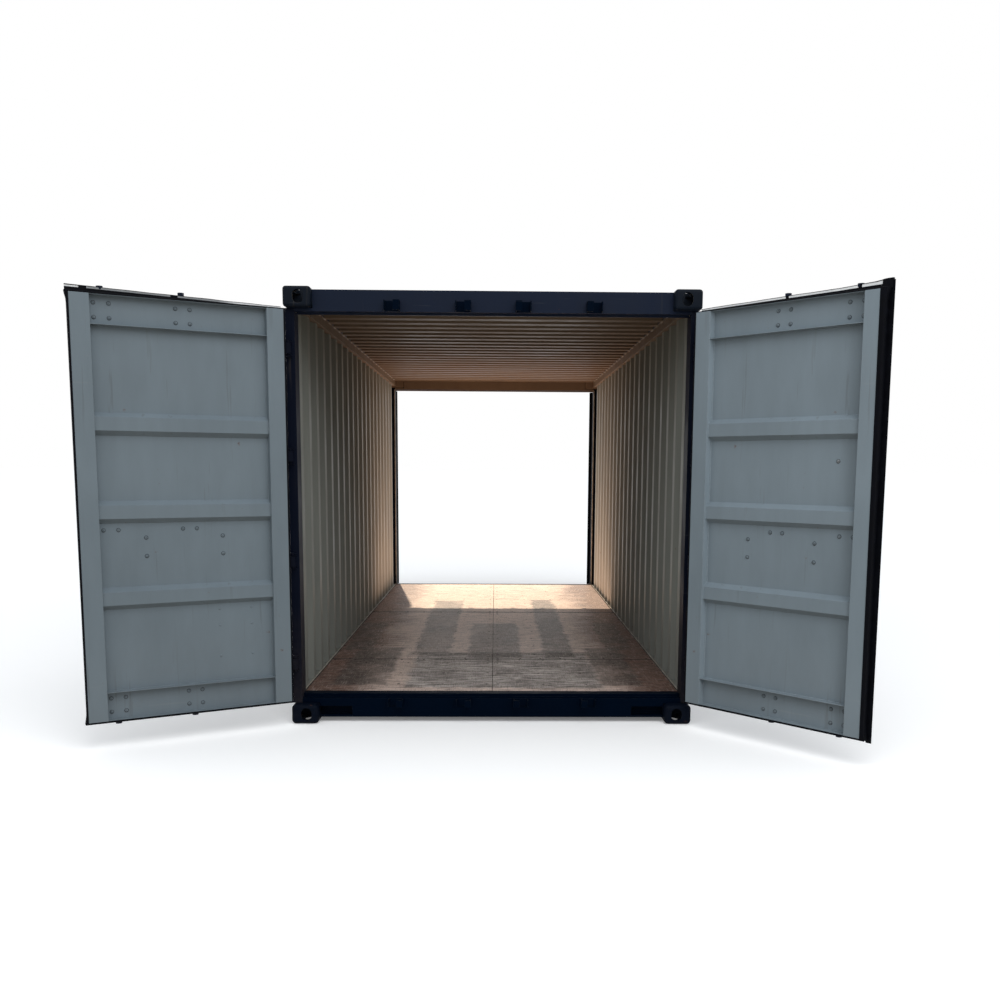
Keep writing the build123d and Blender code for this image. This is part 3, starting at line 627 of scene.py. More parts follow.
def fibres(x, y, detail=4.0, rough=0.65):
    """Noise that is squeezed by x across the container and by y along it."""
    return r.noise(r.vector("MULTIPLY", place, (x, y, 1.0)), 1.0, detail, rough)


def worn_area(centre, half, soft):
    """The mask of one soft rectangle of wear on the floor."""
    ends = {"centre": (*centre, 0), "half_size": (*half, EVERY_HEIGHT), "soft": soft}
    return r.group(LANE, place=place, **ends)["Mask"]


grain = fibres(4.5, 58.0, 6.0, 0.75)
fine = fibres(14.0, 150.0, 5.0, 0.75)
scraped = fibres(150.0, 9.0, 5.0, 0.7)
clouds = r.noise(place, 3.2, 5.0, 0.6)
side_wood = r.mix(r.ramp(grain, 0.35, 0.65), paint(66, 42, 33), paint(112, 77, 62))
# The middle's pale wood is partly wear and partly a painted sheen of the bright far doorway.
worn_middle_and_sheen = r.mix(r.ramp(grain, 0.35, 0.65), paint(150, 129, 117), paint(228, 205, 192))
from_middle = r.math("ADD", r.math("ABSOLUTE", across), r.math("MULTIPLY_ADD", clouds, 0.5, -0.25))
wood = r.mix(r.ramp(from_middle, 0.62, 1.0), worn_middle_and_sheen, side_wood)
middle = worn_area(*GREYED_MIDDLE, WEAR_SOFT)
greyed = r.mix(r.ramp(grain, 0.41, 0.59), paint(60, 55, 52), paint(206, 200, 196))
wood = r.mix(r.math("MULTIPLY", middle, 0.85), wood, greyed)
dirty_clouds = r.ramp(clouds, 0.54, 0.40, 0.0, 0.55)
wood = r.mix(r.math("MULTIPLY", middle, dirty_clouds), wood, paint(50, 44, 40))
patchy = r.ramp(clouds, 0.30, 0.60, 0.6, 1.0)
for centre, half, dark in LANES:
    lane = worn_area(centre, half, LANE_SOFT)
    wood = r.mix(r.math("MULTIPLY", r.math("MULTIPLY", lane, patchy), dark), wood, paint(42, 36, 33))
front_band = worn_area(*FRONT_BAND, WEAR_SOFT)
wood = r.mix(r.math("MULTIPLY", front_band, 0.55), wood, paint(62, 55, 50))
wood = r.mix(r.ramp(fine, 0.50, 0.64, 0.0, 0.5), wood, paint(206, 192, 182))
wood = r.mix(r.ramp(fine, 0.48, 0.36, 0.0, 0.75), wood, paint(44, 34, 30))
wood = r.mix(r.ramp(scraped, 0.54, 0.66, 0.0, 0.45), wood, paint(200, 188, 180))
wood = r.mix(r.ramp(scraped, 0.47, 0.34, 0.0, 0.5), wood, paint(58, 48, 43))
dashes = r.math("MULTIPLY", r.ramp(fibres(6.0, 62.0), 0.58, 0.62), r.ramp(clouds, 0.40, 0.54))
wood = r.mix(r.math("MULTIPLY", dashes, 0.8), wood, paint(30, 23, 20))
for seam, half_wide in zip(SEAMS, SEAM_DIRT):
    dirt = r.math("MULTIPLY", r.math("COMPARE", along, seam, half_wide), 0.75)
    wood = r.mix(dirt, wood, paint(28, 22, 19))
chipped = r.group(EDGES, colour=wood, place=place, bare=paint(60, 46, 38), amount=0.8)
gloss = r.ramp(r.math("ADD", grain, r.math("MULTIPLY", middle, 0.15)), 0.3, 0.75, 0.42, 0.64)
relief = r.math("SUBTRACT", r.math("MULTIPLY", r.math("ADD", grain, fine), 0.5), dashes)
bump = r.node(
    "ShaderNodeBump",
    {"Strength": 0.5, "Distance": GRAIN_DEPTH, "Height": relief, "Normal": chipped["Normal"]},
)
shader = r.node(
    "ShaderNodeBsdfPrincipled",
    {
        "Base Color": chipped["Colour"],
        "Roughness": gloss,
        "Specular IOR Level": 0.26,
        "Normal": bump.outputs[0],
    },
)
r.node("ShaderNodeOutputMaterial", {"Surface": shader.outputs[0]})
dress("floor_boards", plywood)
print("lanes on the floor:", len(LANES))

# %% [markdown]
# ## Door seals
# The seal is black rubber clamped round each leaf. Its lip gets a near-white face
# on the side that faces the cargo when the door is shut: a painted highlight for
# the bright strip of light seen above the leaf. So three materials come from one
# function: clean rubber, rubber with the painted highlight, and for one lip the
# same with a painted dimming in the middle of its length.

# %% Rubber materials
RUBBER_GRAIN = 0.5 * MM


def rubber_material(name, base, bloom, amount, dimmer_leaf=None):
    """Rubber with a cloudy bloom. The last argument is a leaf whose lip gets a painted dimming in the
    middle.
    """
    material, r = empty_recipe(bpy.data.materials, name)
    place = r.node("ShaderNodeTexCoord").outputs["Object"]
    cloud = r.noise(place, 22.0, 5.0, 0.6)
    colour = r.mix(r.ramp(cloud, 0.35, 0.75, 0.0, amount), base, bloom)
    if dimmer_leaf:
        own = r.group(LEAF_PLACE, pin=dimmer_leaf.pin, along=dimmer_leaf.along, inward=dimmer_leaf.inward)
        from_pin = r.split(own["Place"])[0]
        # Greyer in the middle: a painted dimming of the lip's painted highlight.
        greyer = r.math("MULTIPLY", r.ramp(from_pin, 0.26, 0.42), r.ramp(from_pin, 1.14, 1.06))
        colour = r.mix(r.math("MULTIPLY", greyer, 0.75), colour, paint(84, 88, 92))
    worn = r.group(EDGES, colour=colour, place=place, bare=bloom, amount=0.2)
    pores = r.noise(place, 180.0)
    bump = r.node(
        "ShaderNodeBump",
        {"Strength": 0.3, "Distance": RUBBER_GRAIN, "Height": pores, "Normal": worn["Normal"]},
    )
    shader = r.node(
        "ShaderNodeBsdfPrincipled",
        {
            "Base Color": worn["Colour"],
            "Roughness": r.ramp(cloud, 0.3, 0.7, 0.5, 0.7),
            "Specular IOR Level": 0.06,
            "Normal": bump.outputs[0],
        },
    )
    r.node("ShaderNodeOutputMaterial", {"Surface": shader.outputs[0]})
    return material


rubber = rubber_material("black rubber", paint(3, 4, 8), paint(22, 25, 36), 0.2)
# A near-white face for the lip: a painted highlight, not the rubber's own colour.
PAINTED_HIGHLIGHT_FACE = (paint(214, 217, 219), paint(236, 238, 238), 0.8)
highlight_rubber = rubber_material("weathered rubber", *PAINTED_HIGHLIGHT_FACE)
highlight_rubber_dimmer_middle = rubber_material("weathered rubber, greyer in the middle", *PAINTED_HIGHLIGHT_FACE, LEAVES["near_left"])
for door in LEAVES:
    dress(door + "_door_gasket", rubber)
print("seals dressed")

# %% [markdown]
# ## Making small round parts
# Bolt heads, collars and screws are turned shapes: one outline spun round an
# axis. Turning the outline once for each place and keeping all of them in one
# mesh gives a few light objects in place of hundreds, and each still has real
# edges that catch the light.

# %% Helpers for turned parts and beads
BEAD_SIDES = 6


def add_object(name, shape):
    """Turns a bmesh into an object of the scene."""
    mesh = bpy.data.meshes.new(name)
    shape.to_mesh(mesh)
    shape.free()
    made = bpy.data.objects.new(name, mesh)
    bpy.context.scene.collection.objects.link(made)
    return made


def finish_piece(name, shape, body, materials):
    """Turns a bmesh into a named piece that rides on a body."""
    bmesh.ops.recalc_face_normals(shape, faces=shape.faces)
    piece = add_object(name, shape)
    for material in materials:
        piece.data.materials.append(material)
    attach(piece, body)
    return piece


def ring_round(shape, centre, axis, radius, steps):
    """A ring of vertices round a centre, square to an axis of length one."""
    first = axis.orthogonal().normalized()
    second = axis.cross(first)
    angles = [math.tau * step / steps for step in range(steps)]
    return [shape.verts.new(centre + (first * math.cos(a) + second * math.sin(a)) * radius) for a in angles]


def turn(shape, outline, origin, axis, steps=12):
    """Spins an outline of (radius, height) pairs round an axis that starts at origin."""
    axis = axis.normalized()
    rings = []
    for radius, height in outline:
        centre = origin + axis * height
        rings.append(ring_round(shape, centre, axis, radius, steps) if radius else [shape.verts.new(centre)])
    for low, high in zip(rings, rings[1:]):
        for step in range(steps):
            after = (step + 1) % steps
            picks = ((low, step), (low, after), (high, after), (high, step))
            corners = list(dict.fromkeys(ring[i % len(ring)] for ring, i in picks))
            if len(corners) > 2:
                shape.faces.new(corners)


def skin(shape, rings, pick=lambda ring, k: 0, closed=False):
    """Joins rings of vertices into a tube. pick chooses the material of each face."""
    count = len(rings[0])
    pairs = list(zip(rings, rings[1:])) + ([(rings[-1], rings[0])] if closed else [])
    for i, (low, high) in enumerate(pairs):
        for k in range(count):
            face = shape.faces.new((low[k], low[(k + 1) % count], high[(k + 1) % count], high[k]))
            face.material_index = pick(i, k)
    if not closed:
        shape.faces.new(rings[0])
        shape.faces.new(rings[-1])


def bead(shape, path, radius, ripple=0.15, step=0.02, seed=1):
    """A weld or sealant bead: a small round section along a path, a little uneven as by hand."""
    draw = random.Random(seed)
    points = [path[0]]
    for start, stop in zip(path, path[1:]):
        count = max(1, round((stop - start).length / step))
        points += [start.lerp(stop, i / count) for i in range(1, count + 1)]
    rings = []
    for i, point in enumerate(points):
        ahead = (points[min(i + 1, len(points) - 1)] - points[max(i - 1, 0)]).normalized()
        size = radius * (1 + draw.uniform(-ripple, ripple))
        rings.append(ring_round(shape, point, ahead, size, BEAD_SIDES))
    skin(shape, rings)


print("builders ready")

# %% [markdown]
# ## Bolts through the doors
# The bar guides are held by bolts through the leaf. Outside each shows a smooth
# button head that a thief can't grip, and inside a collar on a dark washer with
# the pin's end in its middle. The washer's darkness is partly grime and partly
# painted shade round the bolt. The pattern is the same on every leaf.

# %% Button heads outside, collars inside
WASHER = ((0.0115, 0.0), (0.0115, 0.0010), (0.0, 0.0010))
COLLAR = (
    (0.0086, 0.0),
    (0.0086, 0.0014),
    (0.0074, 0.0024),
    (0.0068, 0.0044),
    (0.0046, 0.0050),
    (0.0042, 0.0034),
    (0.0031, 0.0034),
    (0.0029, 0.0062),
    (0.0, 0.0066),
)
BUTTON = ((0.0135, 0.0), (0.0135, 0.0015), (0.0115, 0.0050), (0.0070, 0.0076), (0.0, 0.0086))
WASHER_STEPS = 16
BOLT_REACH = 0.038
CATCH_REACH = 0.051
CATCH_FROM_BAR = 0.180
CATCH_MIDDLE = 1.110
GUIDE_PLATE = 0.006


def bolt_places():
    """(s, z, depth of the inside face) of each bolt of one leaf."""
    for bar in BARS:
        for z in (GUIDES[0], GUIDES[2]):
            for ds in (-BOLT_REACH, BOLT_REACH):
                for dz in (-BOLT_REACH, BOLT_REACH):
                    yield bar + ds, z + dz, WEB_FACE
        for ds in (-BOLT_REACH, BOLT_REACH):
            yield bar + ds, GUIDES[1], PANEL_FACE
        for dz in (-CATCH_REACH, CATCH_REACH):
            yield bar - CATCH_FROM_BAR, CATCH_MIDDLE + dz, PANEL_FACE


bright = painted("bright bolt", paint(132, 138, 142), rust=0.3, dust=0.0, shine=0.5)
# Dark washers: partly grime and partly painted shade round each bolt's foot.
washer_grime_and_shade = painted("grimy washer", paint(66, 74, 80), rust=0.2)
for door, leaf in LEAVES.items():
    washers, collars, buttons = bmesh.new(), bmesh.new(), bmesh.new()
    for s, z, depth in bolt_places():
        turn(washers, WASHER, leaf.point(s, depth, z), leaf.inward, WASHER_STEPS)
        turn(collars, COLLAR, leaf.point(s, depth + 1 * MM, z), leaf.inward)
        turn(buttons, BUTTON, leaf.point(s, OUTER_FACE - GUIDE_PLATE, z), -leaf.inward)
    finish_piece(door + "_bolt_washers", washers, leaf.body, [washer_grime_and_shade])
    finish_piece(door + "_bolt_collars", collars, leaf.body, [door_materials[door]])
    finish_piece(door + "_bolt_heads", buttons, leaf.body, [navy])
print("bolts on each leaf:", len(list(bolt_places())))

# %% [markdown]
# ## The bare data plate
# One leaf carries a thin metal plate outside, held by six rivets whose tails show
# inside as two columns of dots. The plate is left bare here. The other leaf of the
# pair has one bright bolt of its own, high up on its panel.

# %% A riveted plate and a single bolt
RIVET_COLUMNS, RIVET_ROWS = (0.261, 0.444), (0.464, 0.644, 0.738)
PLATE_MARGIN, PLATE_THICK = 0.014, 0.0015
PLATE_EDGE = 0.0006
RIVET = ((0.006, 0.0), (0.0055, 0.0018), (0.003, 0.0030), (0.0, 0.0034))
SINGLE_BOLT = (0.946, PANEL_FACE, 1.599)
leaf = LEAVES["near_left"]
sheet, tails, heads = bmesh.new(), bmesh.new(), bmesh.new()
low = (RIVET_COLUMNS[0] - PLATE_MARGIN, RIVET_ROWS[0] - PLATE_MARGIN)
high = (RIVET_COLUMNS[1] + PLATE_MARGIN, RIVET_ROWS[2] + PLATE_MARGIN)
corners = [
    sheet.verts.new(leaf.point(s, n, z))
    for n in (OUTER_FACE, OUTER_FACE - PLATE_THICK)
    for s, z in (low, (high[0], low[1]), high, (low[0], high[1]))
]
for face in ((0, 1, 2, 3), (4, 5, 6, 7), (0, 1, 5, 4), (1, 2, 6, 5), (2, 3, 7, 6), (3, 0, 4, 7)):
    sheet.faces.new([corners[i] for i in face])
bmesh.ops.bevel(sheet, geom=sheet.edges[:], offset=PLATE_EDGE, segments=2, affect="EDGES")
for s in RIVET_COLUMNS:
    for z in RIVET_ROWS:
        turn(tails, RIVET, leaf.point(s, PANEL_FACE, z), leaf.inward)
        turn(heads, RIVET, leaf.point(s, OUTER_FACE - PLATE_THICK, z), -leaf.inward)
plate_metal = painted("bare plate", paint(136, 138, 138), rust=0.1, dust=0.2, shine=0.5)
finish_piece("near_left_plate", sheet, leaf.body, [plate_metal])
finish_piece("near_left_plate_rivet_tails", tails, leaf.body, [door_materials["near_left"]])
finish_piece("near_left_plate_rivet_heads", heads, leaf.body, [bright])
single, single_ring = bmesh.new(), bmesh.new()
leaf = LEAVES["near_right"]
bolt_foot = leaf.point(*SINGLE_BOLT)
turn(single_ring, WASHER, bolt_foot, leaf.inward, WASHER_STEPS)
turn(single, COLLAR, bolt_foot + leaf.inward * MM, leaf.inward)
finish_piece("near_right_single_bolt_washer", single_ring, leaf.body, [washer_grime_and_shade])
# The single bolt's paint is lighter than the door's, partly as a painted highlight for its shine.
finish_piece("near_right_single_bolt", single, leaf.body, [bright])
print("plate size:", round(high[0] - low[0], 3), round(high[1] - low[1], 3))

# %% [markdown]
# ## Beads round the door panel
# The pressed panel is welded into its frame, and the weld is sealed with a bead
# that follows the ribs up and down at both stiles. Tracing the rib's own shape
# keeps the bead on the corner all the way.

# %% Panel beads
BEAD = 0.0032


def rib_line(s):
    """The panel's section at a stile, from the bottom rail to the top one."""
    line = [(PANEL_FACE, PANEL_LOW)]
    for z in RIB_HEIGHTS:
        top = PANEL_FACE + RIB_RISE - 2 * MM
        line += [
            (PANEL_FACE, z - RIB_HALF - RIB_RUN),
            (top, z - RIB_HALF),
            (top, z + RIB_HALF),
            (PANEL_FACE, z + RIB_HALF + RIB_RUN),
        ]
    return [(s, n + 1 * MM, z) for n, z in line + [(PANEL_FACE, PANEL_HIGH)]]


for door, leaf in LEAVES.items():
    shape = bmesh.new()
    for s in (PANEL_START + 1 * MM, PANEL_END - 1 * MM):
        bead(shape, [leaf.point(*p) for p in rib_line(s)], BEAD, seed=3)
    for z in (PANEL_LOW, PANEL_HIGH):
        bead(shape, [leaf.point(s, PANEL_FACE + 1 * MM, z) for s in (PANEL_START, PANEL_END)], BEAD, seed=4)
    finish_piece(door + "_panel_beads", shape, leaf.body, [door_materials[door]])
print("bead radius in mm:", BEAD / MM)

# %% [markdown]
# ## The seal round each leaf
# A fat black rubber seal is clamped round the leaf and fills the slit to the
# frame. It has ridges that press on the frame one behind the other, and at the
# free corners it has sagged out a little. One ridged section runs round all four
# edges, and only its reach changes from place to place.

# %% Ridged seals
SEAL_SECTION = (
    (0.0, 0.0815),
    (0.70, 0.0812),
    (1.0, 0.0785),
    (0.96, 0.0745),
    (0.78, 0.0715),
    (0.78, 0.0660),
    (0.97, 0.0630),
    (0.97, 0.0570),
    (0.78, 0.0540),
    (0.78, 0.0490),
    (0.92, 0.0460),
    (0.88, 0.0400),
    (0.0, 0.0390),
)
SEAL_TOP = {
    "near_left": (0.0065, 0.0092),
    "near_right": (0.0050, 0.0072),
    "far_left": (0.007, 0.009),
    "far_right": (0.007, 0.009),
}
SEAL_FREE, SEAL_LOW, SEAL_HINGE = 0.0045, 0.0108, 0.0115
SEAL_STEPS = 12
SEAL_DROPS = [0.008, 0.018, 0.032, 0.055] + [0.055 + 0.1 * i for i in range(1, 22)]
SEAL_DROPS += [2.231, 2.254, 2.268, 2.278]
LEAF_LONG, LEAF_TALL = LEAF_FREE - LEAF_NEAR_PIN, LEAF_HIGH - LEAF_LOW
FLARE_TOP, FLARE_LOW, FLARE_RUN = 0.011, 0.008, 0.045
FLAP_LOW = {"near_left": 0.004, "near_right": 0.014, "far_left": 0.012, "far_right": 0.004}
FLAP_HIGH = {"near_left": 0.006, "near_right": 0.023, "far_left": 0.012, "far_right": 0.004}


def seal_path(door):
    """(s, z, reach along s, reach along z) round the leaf: top, free side, bottom, hinge side."""
    start, stop = SEAL_TOP[door]
    path = []
    for i in range(SEAL_STEPS + 1):
        share = i / SEAL_STEPS
        side = -SEAL_HINGE if i == 0 else SEAL_FREE + FLARE_TOP if i == SEAL_STEPS else 0.0
        path.append((LEAF_NEAR_PIN + LEAF_LONG * share, LEAF_HIGH, side, start + (stop - start) * share))
    for drop in SEAL_DROPS:
        z = LEAF_HIGH - drop
        above, below = max(0.0, 1 - drop / FLARE_RUN), max(0.0, 1 - (z - LEAF_LOW) / FLARE_RUN)
        path.append((LEAF_FREE, z, SEAL_FREE + FLARE_TOP * above**1.6 + FLARE_LOW * below**1.6, 0.0))
    path.append((LEAF_FREE, LEAF_LOW, SEAL_FREE + FLARE_LOW, -SEAL_LOW))
    for i in range(1, SEAL_STEPS):
        path.append((LEAF_FREE - LEAF_LONG * i / SEAL_STEPS, LEAF_LOW, 0.0, -SEAL_LOW))
    path.append((LEAF_NEAR_PIN, LEAF_LOW, -SEAL_HINGE, -SEAL_LOW))
    for i in range(1, SEAL_STEPS):
        path.append((LEAF_NEAR_PIN, LEAF_LOW + LEAF_TALL * i / SEAL_STEPS, -SEAL_HINGE, 0.0))
    return path


for door, leaf in LEAVES.items():
    shape = bmesh.new()
    rings = [
        [shape.verts.new(leaf.point(s + out_s * share, n, z + out_z * share)) for share, n in SEAL_SECTION]
        for s, z, out_s, out_z in seal_path(door)
    ]
    skin(shape, rings, closed=True)
    flap = []
    for z, wide in ((LEAF_LOW, FLAP_LOW[door]), (LEAF_HIGH, FLAP_HIGH[door])):
        edge = (
            (-wide, 0.0818),
            (-wide + 0.0008, 0.0838),
            (0.0, 0.0840),
            (0.8 * SEAL_FREE, 0.0822),
            (0.0, 0.0812),
        )
        flap.append([shape.verts.new(leaf.point(LEAF_FREE + ds, n, z)) for ds, n in edge])
    skin(shape, flap)
    finish_piece(door + "_seal", shape, leaf.body, [rubber])
print("seal reaches", SEAL_LOW / MM, "mm below the leaf and", SEAL_HINGE / MM, "mm towards the post")

# %% [markdown]
# ## The lip that curls up at the top
# Above each leaf stands the seal's thin outer lip. It has lost its shape and
# lifts more towards the free edge, and shows a near-white face under a dark
# rolled edge. That face is a painted highlight for the bright strip of light
# seen above the leaf, not the rubber's own colour. Its height at a few places
# along the leaf draws it.

# %% Curling lips
# Distance from the pin and height, for the lip's top and for the top of its dark foot.
LIP_TOP = {
    "near_left": (
        (0.04, 2.466),
        (0.21, 2.470),
        (0.34, 2.472),
        (0.45, 2.476),
        (0.77, 2.482),
        (1.09, 2.490),
        (1.19, 2.493),
    ),
    "near_right": (
        (0.04, 2.470),
        (0.13, 2.474),
        (0.41, 2.477),
        (0.59, 2.481),
        (0.90, 2.484),
        (1.10, 2.493),
        (1.15, 2.500),
    ),
    "far_left": ((0.04, 2.462), (1.20, 2.474)),
    "far_right": ((0.04, 2.462), (1.20, 2.472)),
}
LIP_FOOT = {
    "near_left": ((0.04, 2.460), (0.28, 2.460), (0.45, 2.464), (0.77, 2.471), (1.19, 2.479)),
    "near_right": ((0.04, 2.463), (0.13, 2.463), (0.50, 2.467), (0.90, 2.471), (1.10, 2.475)),
    "far_left": ((0.04, 2.454), (1.20, 2.464)),
    "far_right": ((0.04, 2.454), (1.20, 2.464)),
}
# Where along the leaf the lip is pinched and shows no painted highlight.
LIP_PINCHED = {
    "near_left": ((0.61, 0.65), (1.07, 1.11)),
    "near_right": ((0.584, 0.604), (1.002, 1.022), (1.13, 1.21)),
}
LIP_END = {"near_left": 1.184, "near_right": 1.197, "far_left": 1.190, "far_right": 1.176}
LIP_FROM, LIP_ROOT, LIP_FACE, LIP_BACK, LIP_LEAN = 2.450, 2.448, 0.0318, 0.0290, 0.10
LIP_STEPS = 116
LIP_WAVE, LIP_WAVES = 0.0004, 31
ROLL, ROLL_MORE, ROLL_FROM, ROLL_RUN = 0.0022, 0.0030, 1.0, 0.2
BULGE, BULGE_FROM, BULGE_RUN = 0.012, 1.13, 0.04


def height_at(line, s):
    """The height of a line of (s, z) points at one place."""
    for (s0, z0), (s1, z1) in zip(line, line[1:]):
        if s <= s1:
            return z0 + (z1 - z0) * max(0.0, (s - s0) / (s1 - s0))
    return line[-1][1]


for door, leaf in LEAVES.items():
    shape = bmesh.new()
    rings, places = [], []
    for i in range(LIP_STEPS + 1):
        s = LEAF_NEAR_PIN + (LIP_END[door] - LEAF_NEAR_PIN) * i / LIP_STEPS
        top = height_at(LIP_TOP[door], s) + LIP_WAVE * math.sin(LIP_WAVES * s)
        foot = height_at(LIP_FOOT[door], s)
        roll = ROLL + ROLL_MORE * max(0.0, (s - ROLL_FROM) / ROLL_RUN)
        bulge = BULGE * max(0.0, min(1.0, (s - BULGE_FROM) / BULGE_RUN)) if door == "near_right" else 0.0
        section = (
            (LIP_FROM, LIP_FACE + bulge),
            (foot, LIP_FACE + bulge),
            (top - roll, LIP_FACE + bulge),
            (top - roll + 0.0005, LIP_FACE + 0.0020 + bulge),
            (top - 0.0007, LIP_FACE + 0.0022 + bulge),
            (top, LIP_FACE + 0.0006),
            (top - 0.0005, LIP_BACK - 0.0004),
            (top - roll, LIP_BACK),
            (LIP_FROM, LIP_BACK),
        )
        rings.append([shape.verts.new(leaf.point(s, n - LIP_LEAN * (z - LIP_FROM), z)) for z, n in section])
        places.append(s)
    pinched = LIP_PINCHED.get(door, ())

    def painted_highlight_face(ring, k):
        dark = any(start <= places[ring] <= stop for start, stop in pinched)
        return 1 if k == 1 and not dark else 0

    skin(shape, rings, painted_highlight_face)
    # The lip's face takes the painted highlight, dimmer in the middle on one leaf.
    lip_face_rubber = highlight_rubber_dimmer_middle if door == "near_left" else highlight_rubber
    lip = finish_piece(door + "_seal_lip", shape, leaf.body, [rubber, lip_face_rubber])
    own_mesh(lip)
highest = max(line[-1][1] for line in LIP_TOP.values())
print("lips stand up to", round(highest - LEAF_HIGH, 3), "m above a leaf")

# %% [markdown]
# ## Sealant in the hold
# Pale sealant closes the joints that water could use: along the foot of both
# walls, at the corners of the doorways, up the posts, and in short strokes where
# each roof rib meets the top rail. The rib places are read from the roof itself.
# Under a header the bead stops short, to leave room for the seal of a shut door.

# %% Sealant beads along the walls and posts
FOOT_BEAD = {"radius": 0.0045, "ripple": 0.3, "step": 0.03, "seed": 5}
CORNER_BEAD = {"radius": 0.003, "ripple": 0.35, "step": 0.01, "seed": 6}
POST_BEAD = {"radius": 0.004, "ripple": 0.25, "step": 0.03, "seed": 7}
RIB_BEAD = {"radius": 0.0048, "ripple": 0.35, "step": 0.012, "seed": 8}
WALL_FOOT, WALL_END, HEADER_LOW = 1.1745, 2.845, 2.456
POST_FACE, POST_BACK, POST_FRONT = 1.163, 2.851, 2.918
sealant = painted("pale sealant", paint(152, 144, 132), dust=0.1, wear=0.0, shine=0.3)
shape = bmesh.new()
for side in (-1, 1):
    foot = [Vector((side * WALL_FOOT, y, FLOOR_TOP + 1 * MM)) for y in (-WALL_END, WALL_END)]
    bead(shape, foot, **FOOT_BEAD)
    for end in (-1, 1):
        x, z = side * (POST_FACE - 1 * MM), HEADER_LOW - 1 * MM
        bead(shape, [Vector((x, end * y, z)) for y in (POST_BACK, POST_FRONT)], **CORNER_BEAD)
        x, y = side * (POST_FACE + 5 * MM), end * (POST_BACK - 2 * MM)
        bead(shape, [Vector((x, y, z)) for z in (FLOOR_TOP, HEADER_LOW)], **POST_BEAD)
finish_piece("hold_sealant", shape, "container", [sealant])
print("walls sealed at their foot,", WALL_FOOT, "m from the middle")

# %% Strokes where the roof ribs meet the rails
RAIL_INNER, RAIL_TOP = 1.156, 2.555
RIB_INSIDE, LEVEL_SLACK, STROKE_INSET = 1.152, 0.0006, 0.012
SHORTEST_RIB, LONGEST_RIB = 0.08, 0.10
roof_points = [v.co for v in NODES["roof_panel"].data.vertices]
low_points = [p for p in roof_points if p.z < RAIL_TOP + LEVEL_SLACK and abs(p.x) < RIB_INSIDE]
low_line = sorted({round(p.y, 4) for p in low_points})
ribs = [(a, b) for a, b in zip(low_line, low_line[1:]) if SHORTEST_RIB < b - a < LONGEST_RIB]
shape = bmesh.new()
for side in (-1, 1):
    for a, b in ribs:
        x, z = side * (RAIL_INNER - 2 * MM), RAIL_TOP - 2 * MM
        bead(shape, [Vector((x, y, z)) for y in (a + STROKE_INSET, b - STROKE_INSET)], **RIB_BEAD)
finish_piece("roof_rib_sealant", shape, "container", [sealant])
print("rib strokes:", 2 * len(ribs))

# %% [markdown]
# ## Floor screws
# The boards are screwed down in even rows, with one more row on each side of a
# seam. Each screw head is a shallow dish, set a hair above the wood so that it
# shows from far off as a dark dot.

# %% Screw rows
SCREW = ((0.0090, 0.0), (0.0082, 0.0009), (0.0045, 0.0006), (0.0040, 0.0003), (0.0, 0.0003))
SCREW_STEPS = 8
FIRST_ROW, ROW_SPACING, ROW_COUNT, ROW_LIMIT = -2.65, 0.345, 16, 2.8
SEAM_ROW, SEAM_REACH = 0.030, 0.05
FIRST_SCREW, SCREW_LIMIT = 0.035, 1.16
CLOSE_SPACING, WIDE_SPACING = 0.16, 0.285
ROW_WANDER, SPACING_WANDER = 0.006, 0.015
rows = [y for y in (FIRST_ROW + ROW_SPACING * i for i in range(ROW_COUNT)) if abs(y) < ROW_LIMIT]
rows += [seam + offset for seam in SEAMS for offset in (-SEAM_ROW, SEAM_ROW)]
draw = random.Random(11)
shape = bmesh.new()
count = 0
for y in rows:
    near_seam = any(abs(y - seam) < SEAM_REACH for seam in SEAMS)
    spacing = CLOSE_SPACING if near_seam else WIDE_SPACING
    for side in (-1, 1):
        x = FIRST_SCREW
        while x < SCREW_LIMIT:
            head = Vector((side * x, y + draw.uniform(-ROW_WANDER, ROW_WANDER), FLOOR_TOP))
            turn(shape, SCREW, head, Vector((0, 0, 1)), SCREW_STEPS)
            x += spacing + draw.uniform(-SPACING_WANDER, SPACING_WANDER)
            count += 1
screw_metal = painted("floor screw", paint(26, 22, 21), rust=0.5, dust=0.0, shine=0.1)
finish_piece("floor_screws", shape, "container", [screw_metal])
print("screws:", count)

# %% [markdown]
# ## Rounded castings
# Corner fittings are cast, so their outer edges are round enough to see from far
# off. The CAD mesh itself stays as it is, and its holes would get in the way of a
# bevel. So a copy of each fitting is cut by a box with round edges, which keeps
# the holes and takes only the corners off.

# %% Round the castings
CUT_MARGIN, SMOOTH_BELOW = 0.0003, math.radians(35)
TOP_RADIUS, BOTTOM_RADIUS = 0.019, 0.024
# The top castings' charcoal is their own tone darkened further, as painted shade for their holes.
top_casting = painted(
    "top casting paint, navy and grey", CHARCOAL_NAVY_WITH_PAINTED_SHADE, GREY_WARMED_AS_PAINTED_BOUNCE, faces_middle_y, shine=0.08
)
# The bottom castings take the near-black navy of painted shade.
low_casting = painted("bottom casting paint", DEEP_NAVY_PAINTED_SHADE, rust=0.1, dust=0.02, wear=0.2, shine=0.04)
CASTINGS = {
    "top_corner_fittings": (TOP_RADIUS, top_casting),
    "bottom_corner_fittings": (BOTTOM_RADIUS, low_casting),
}


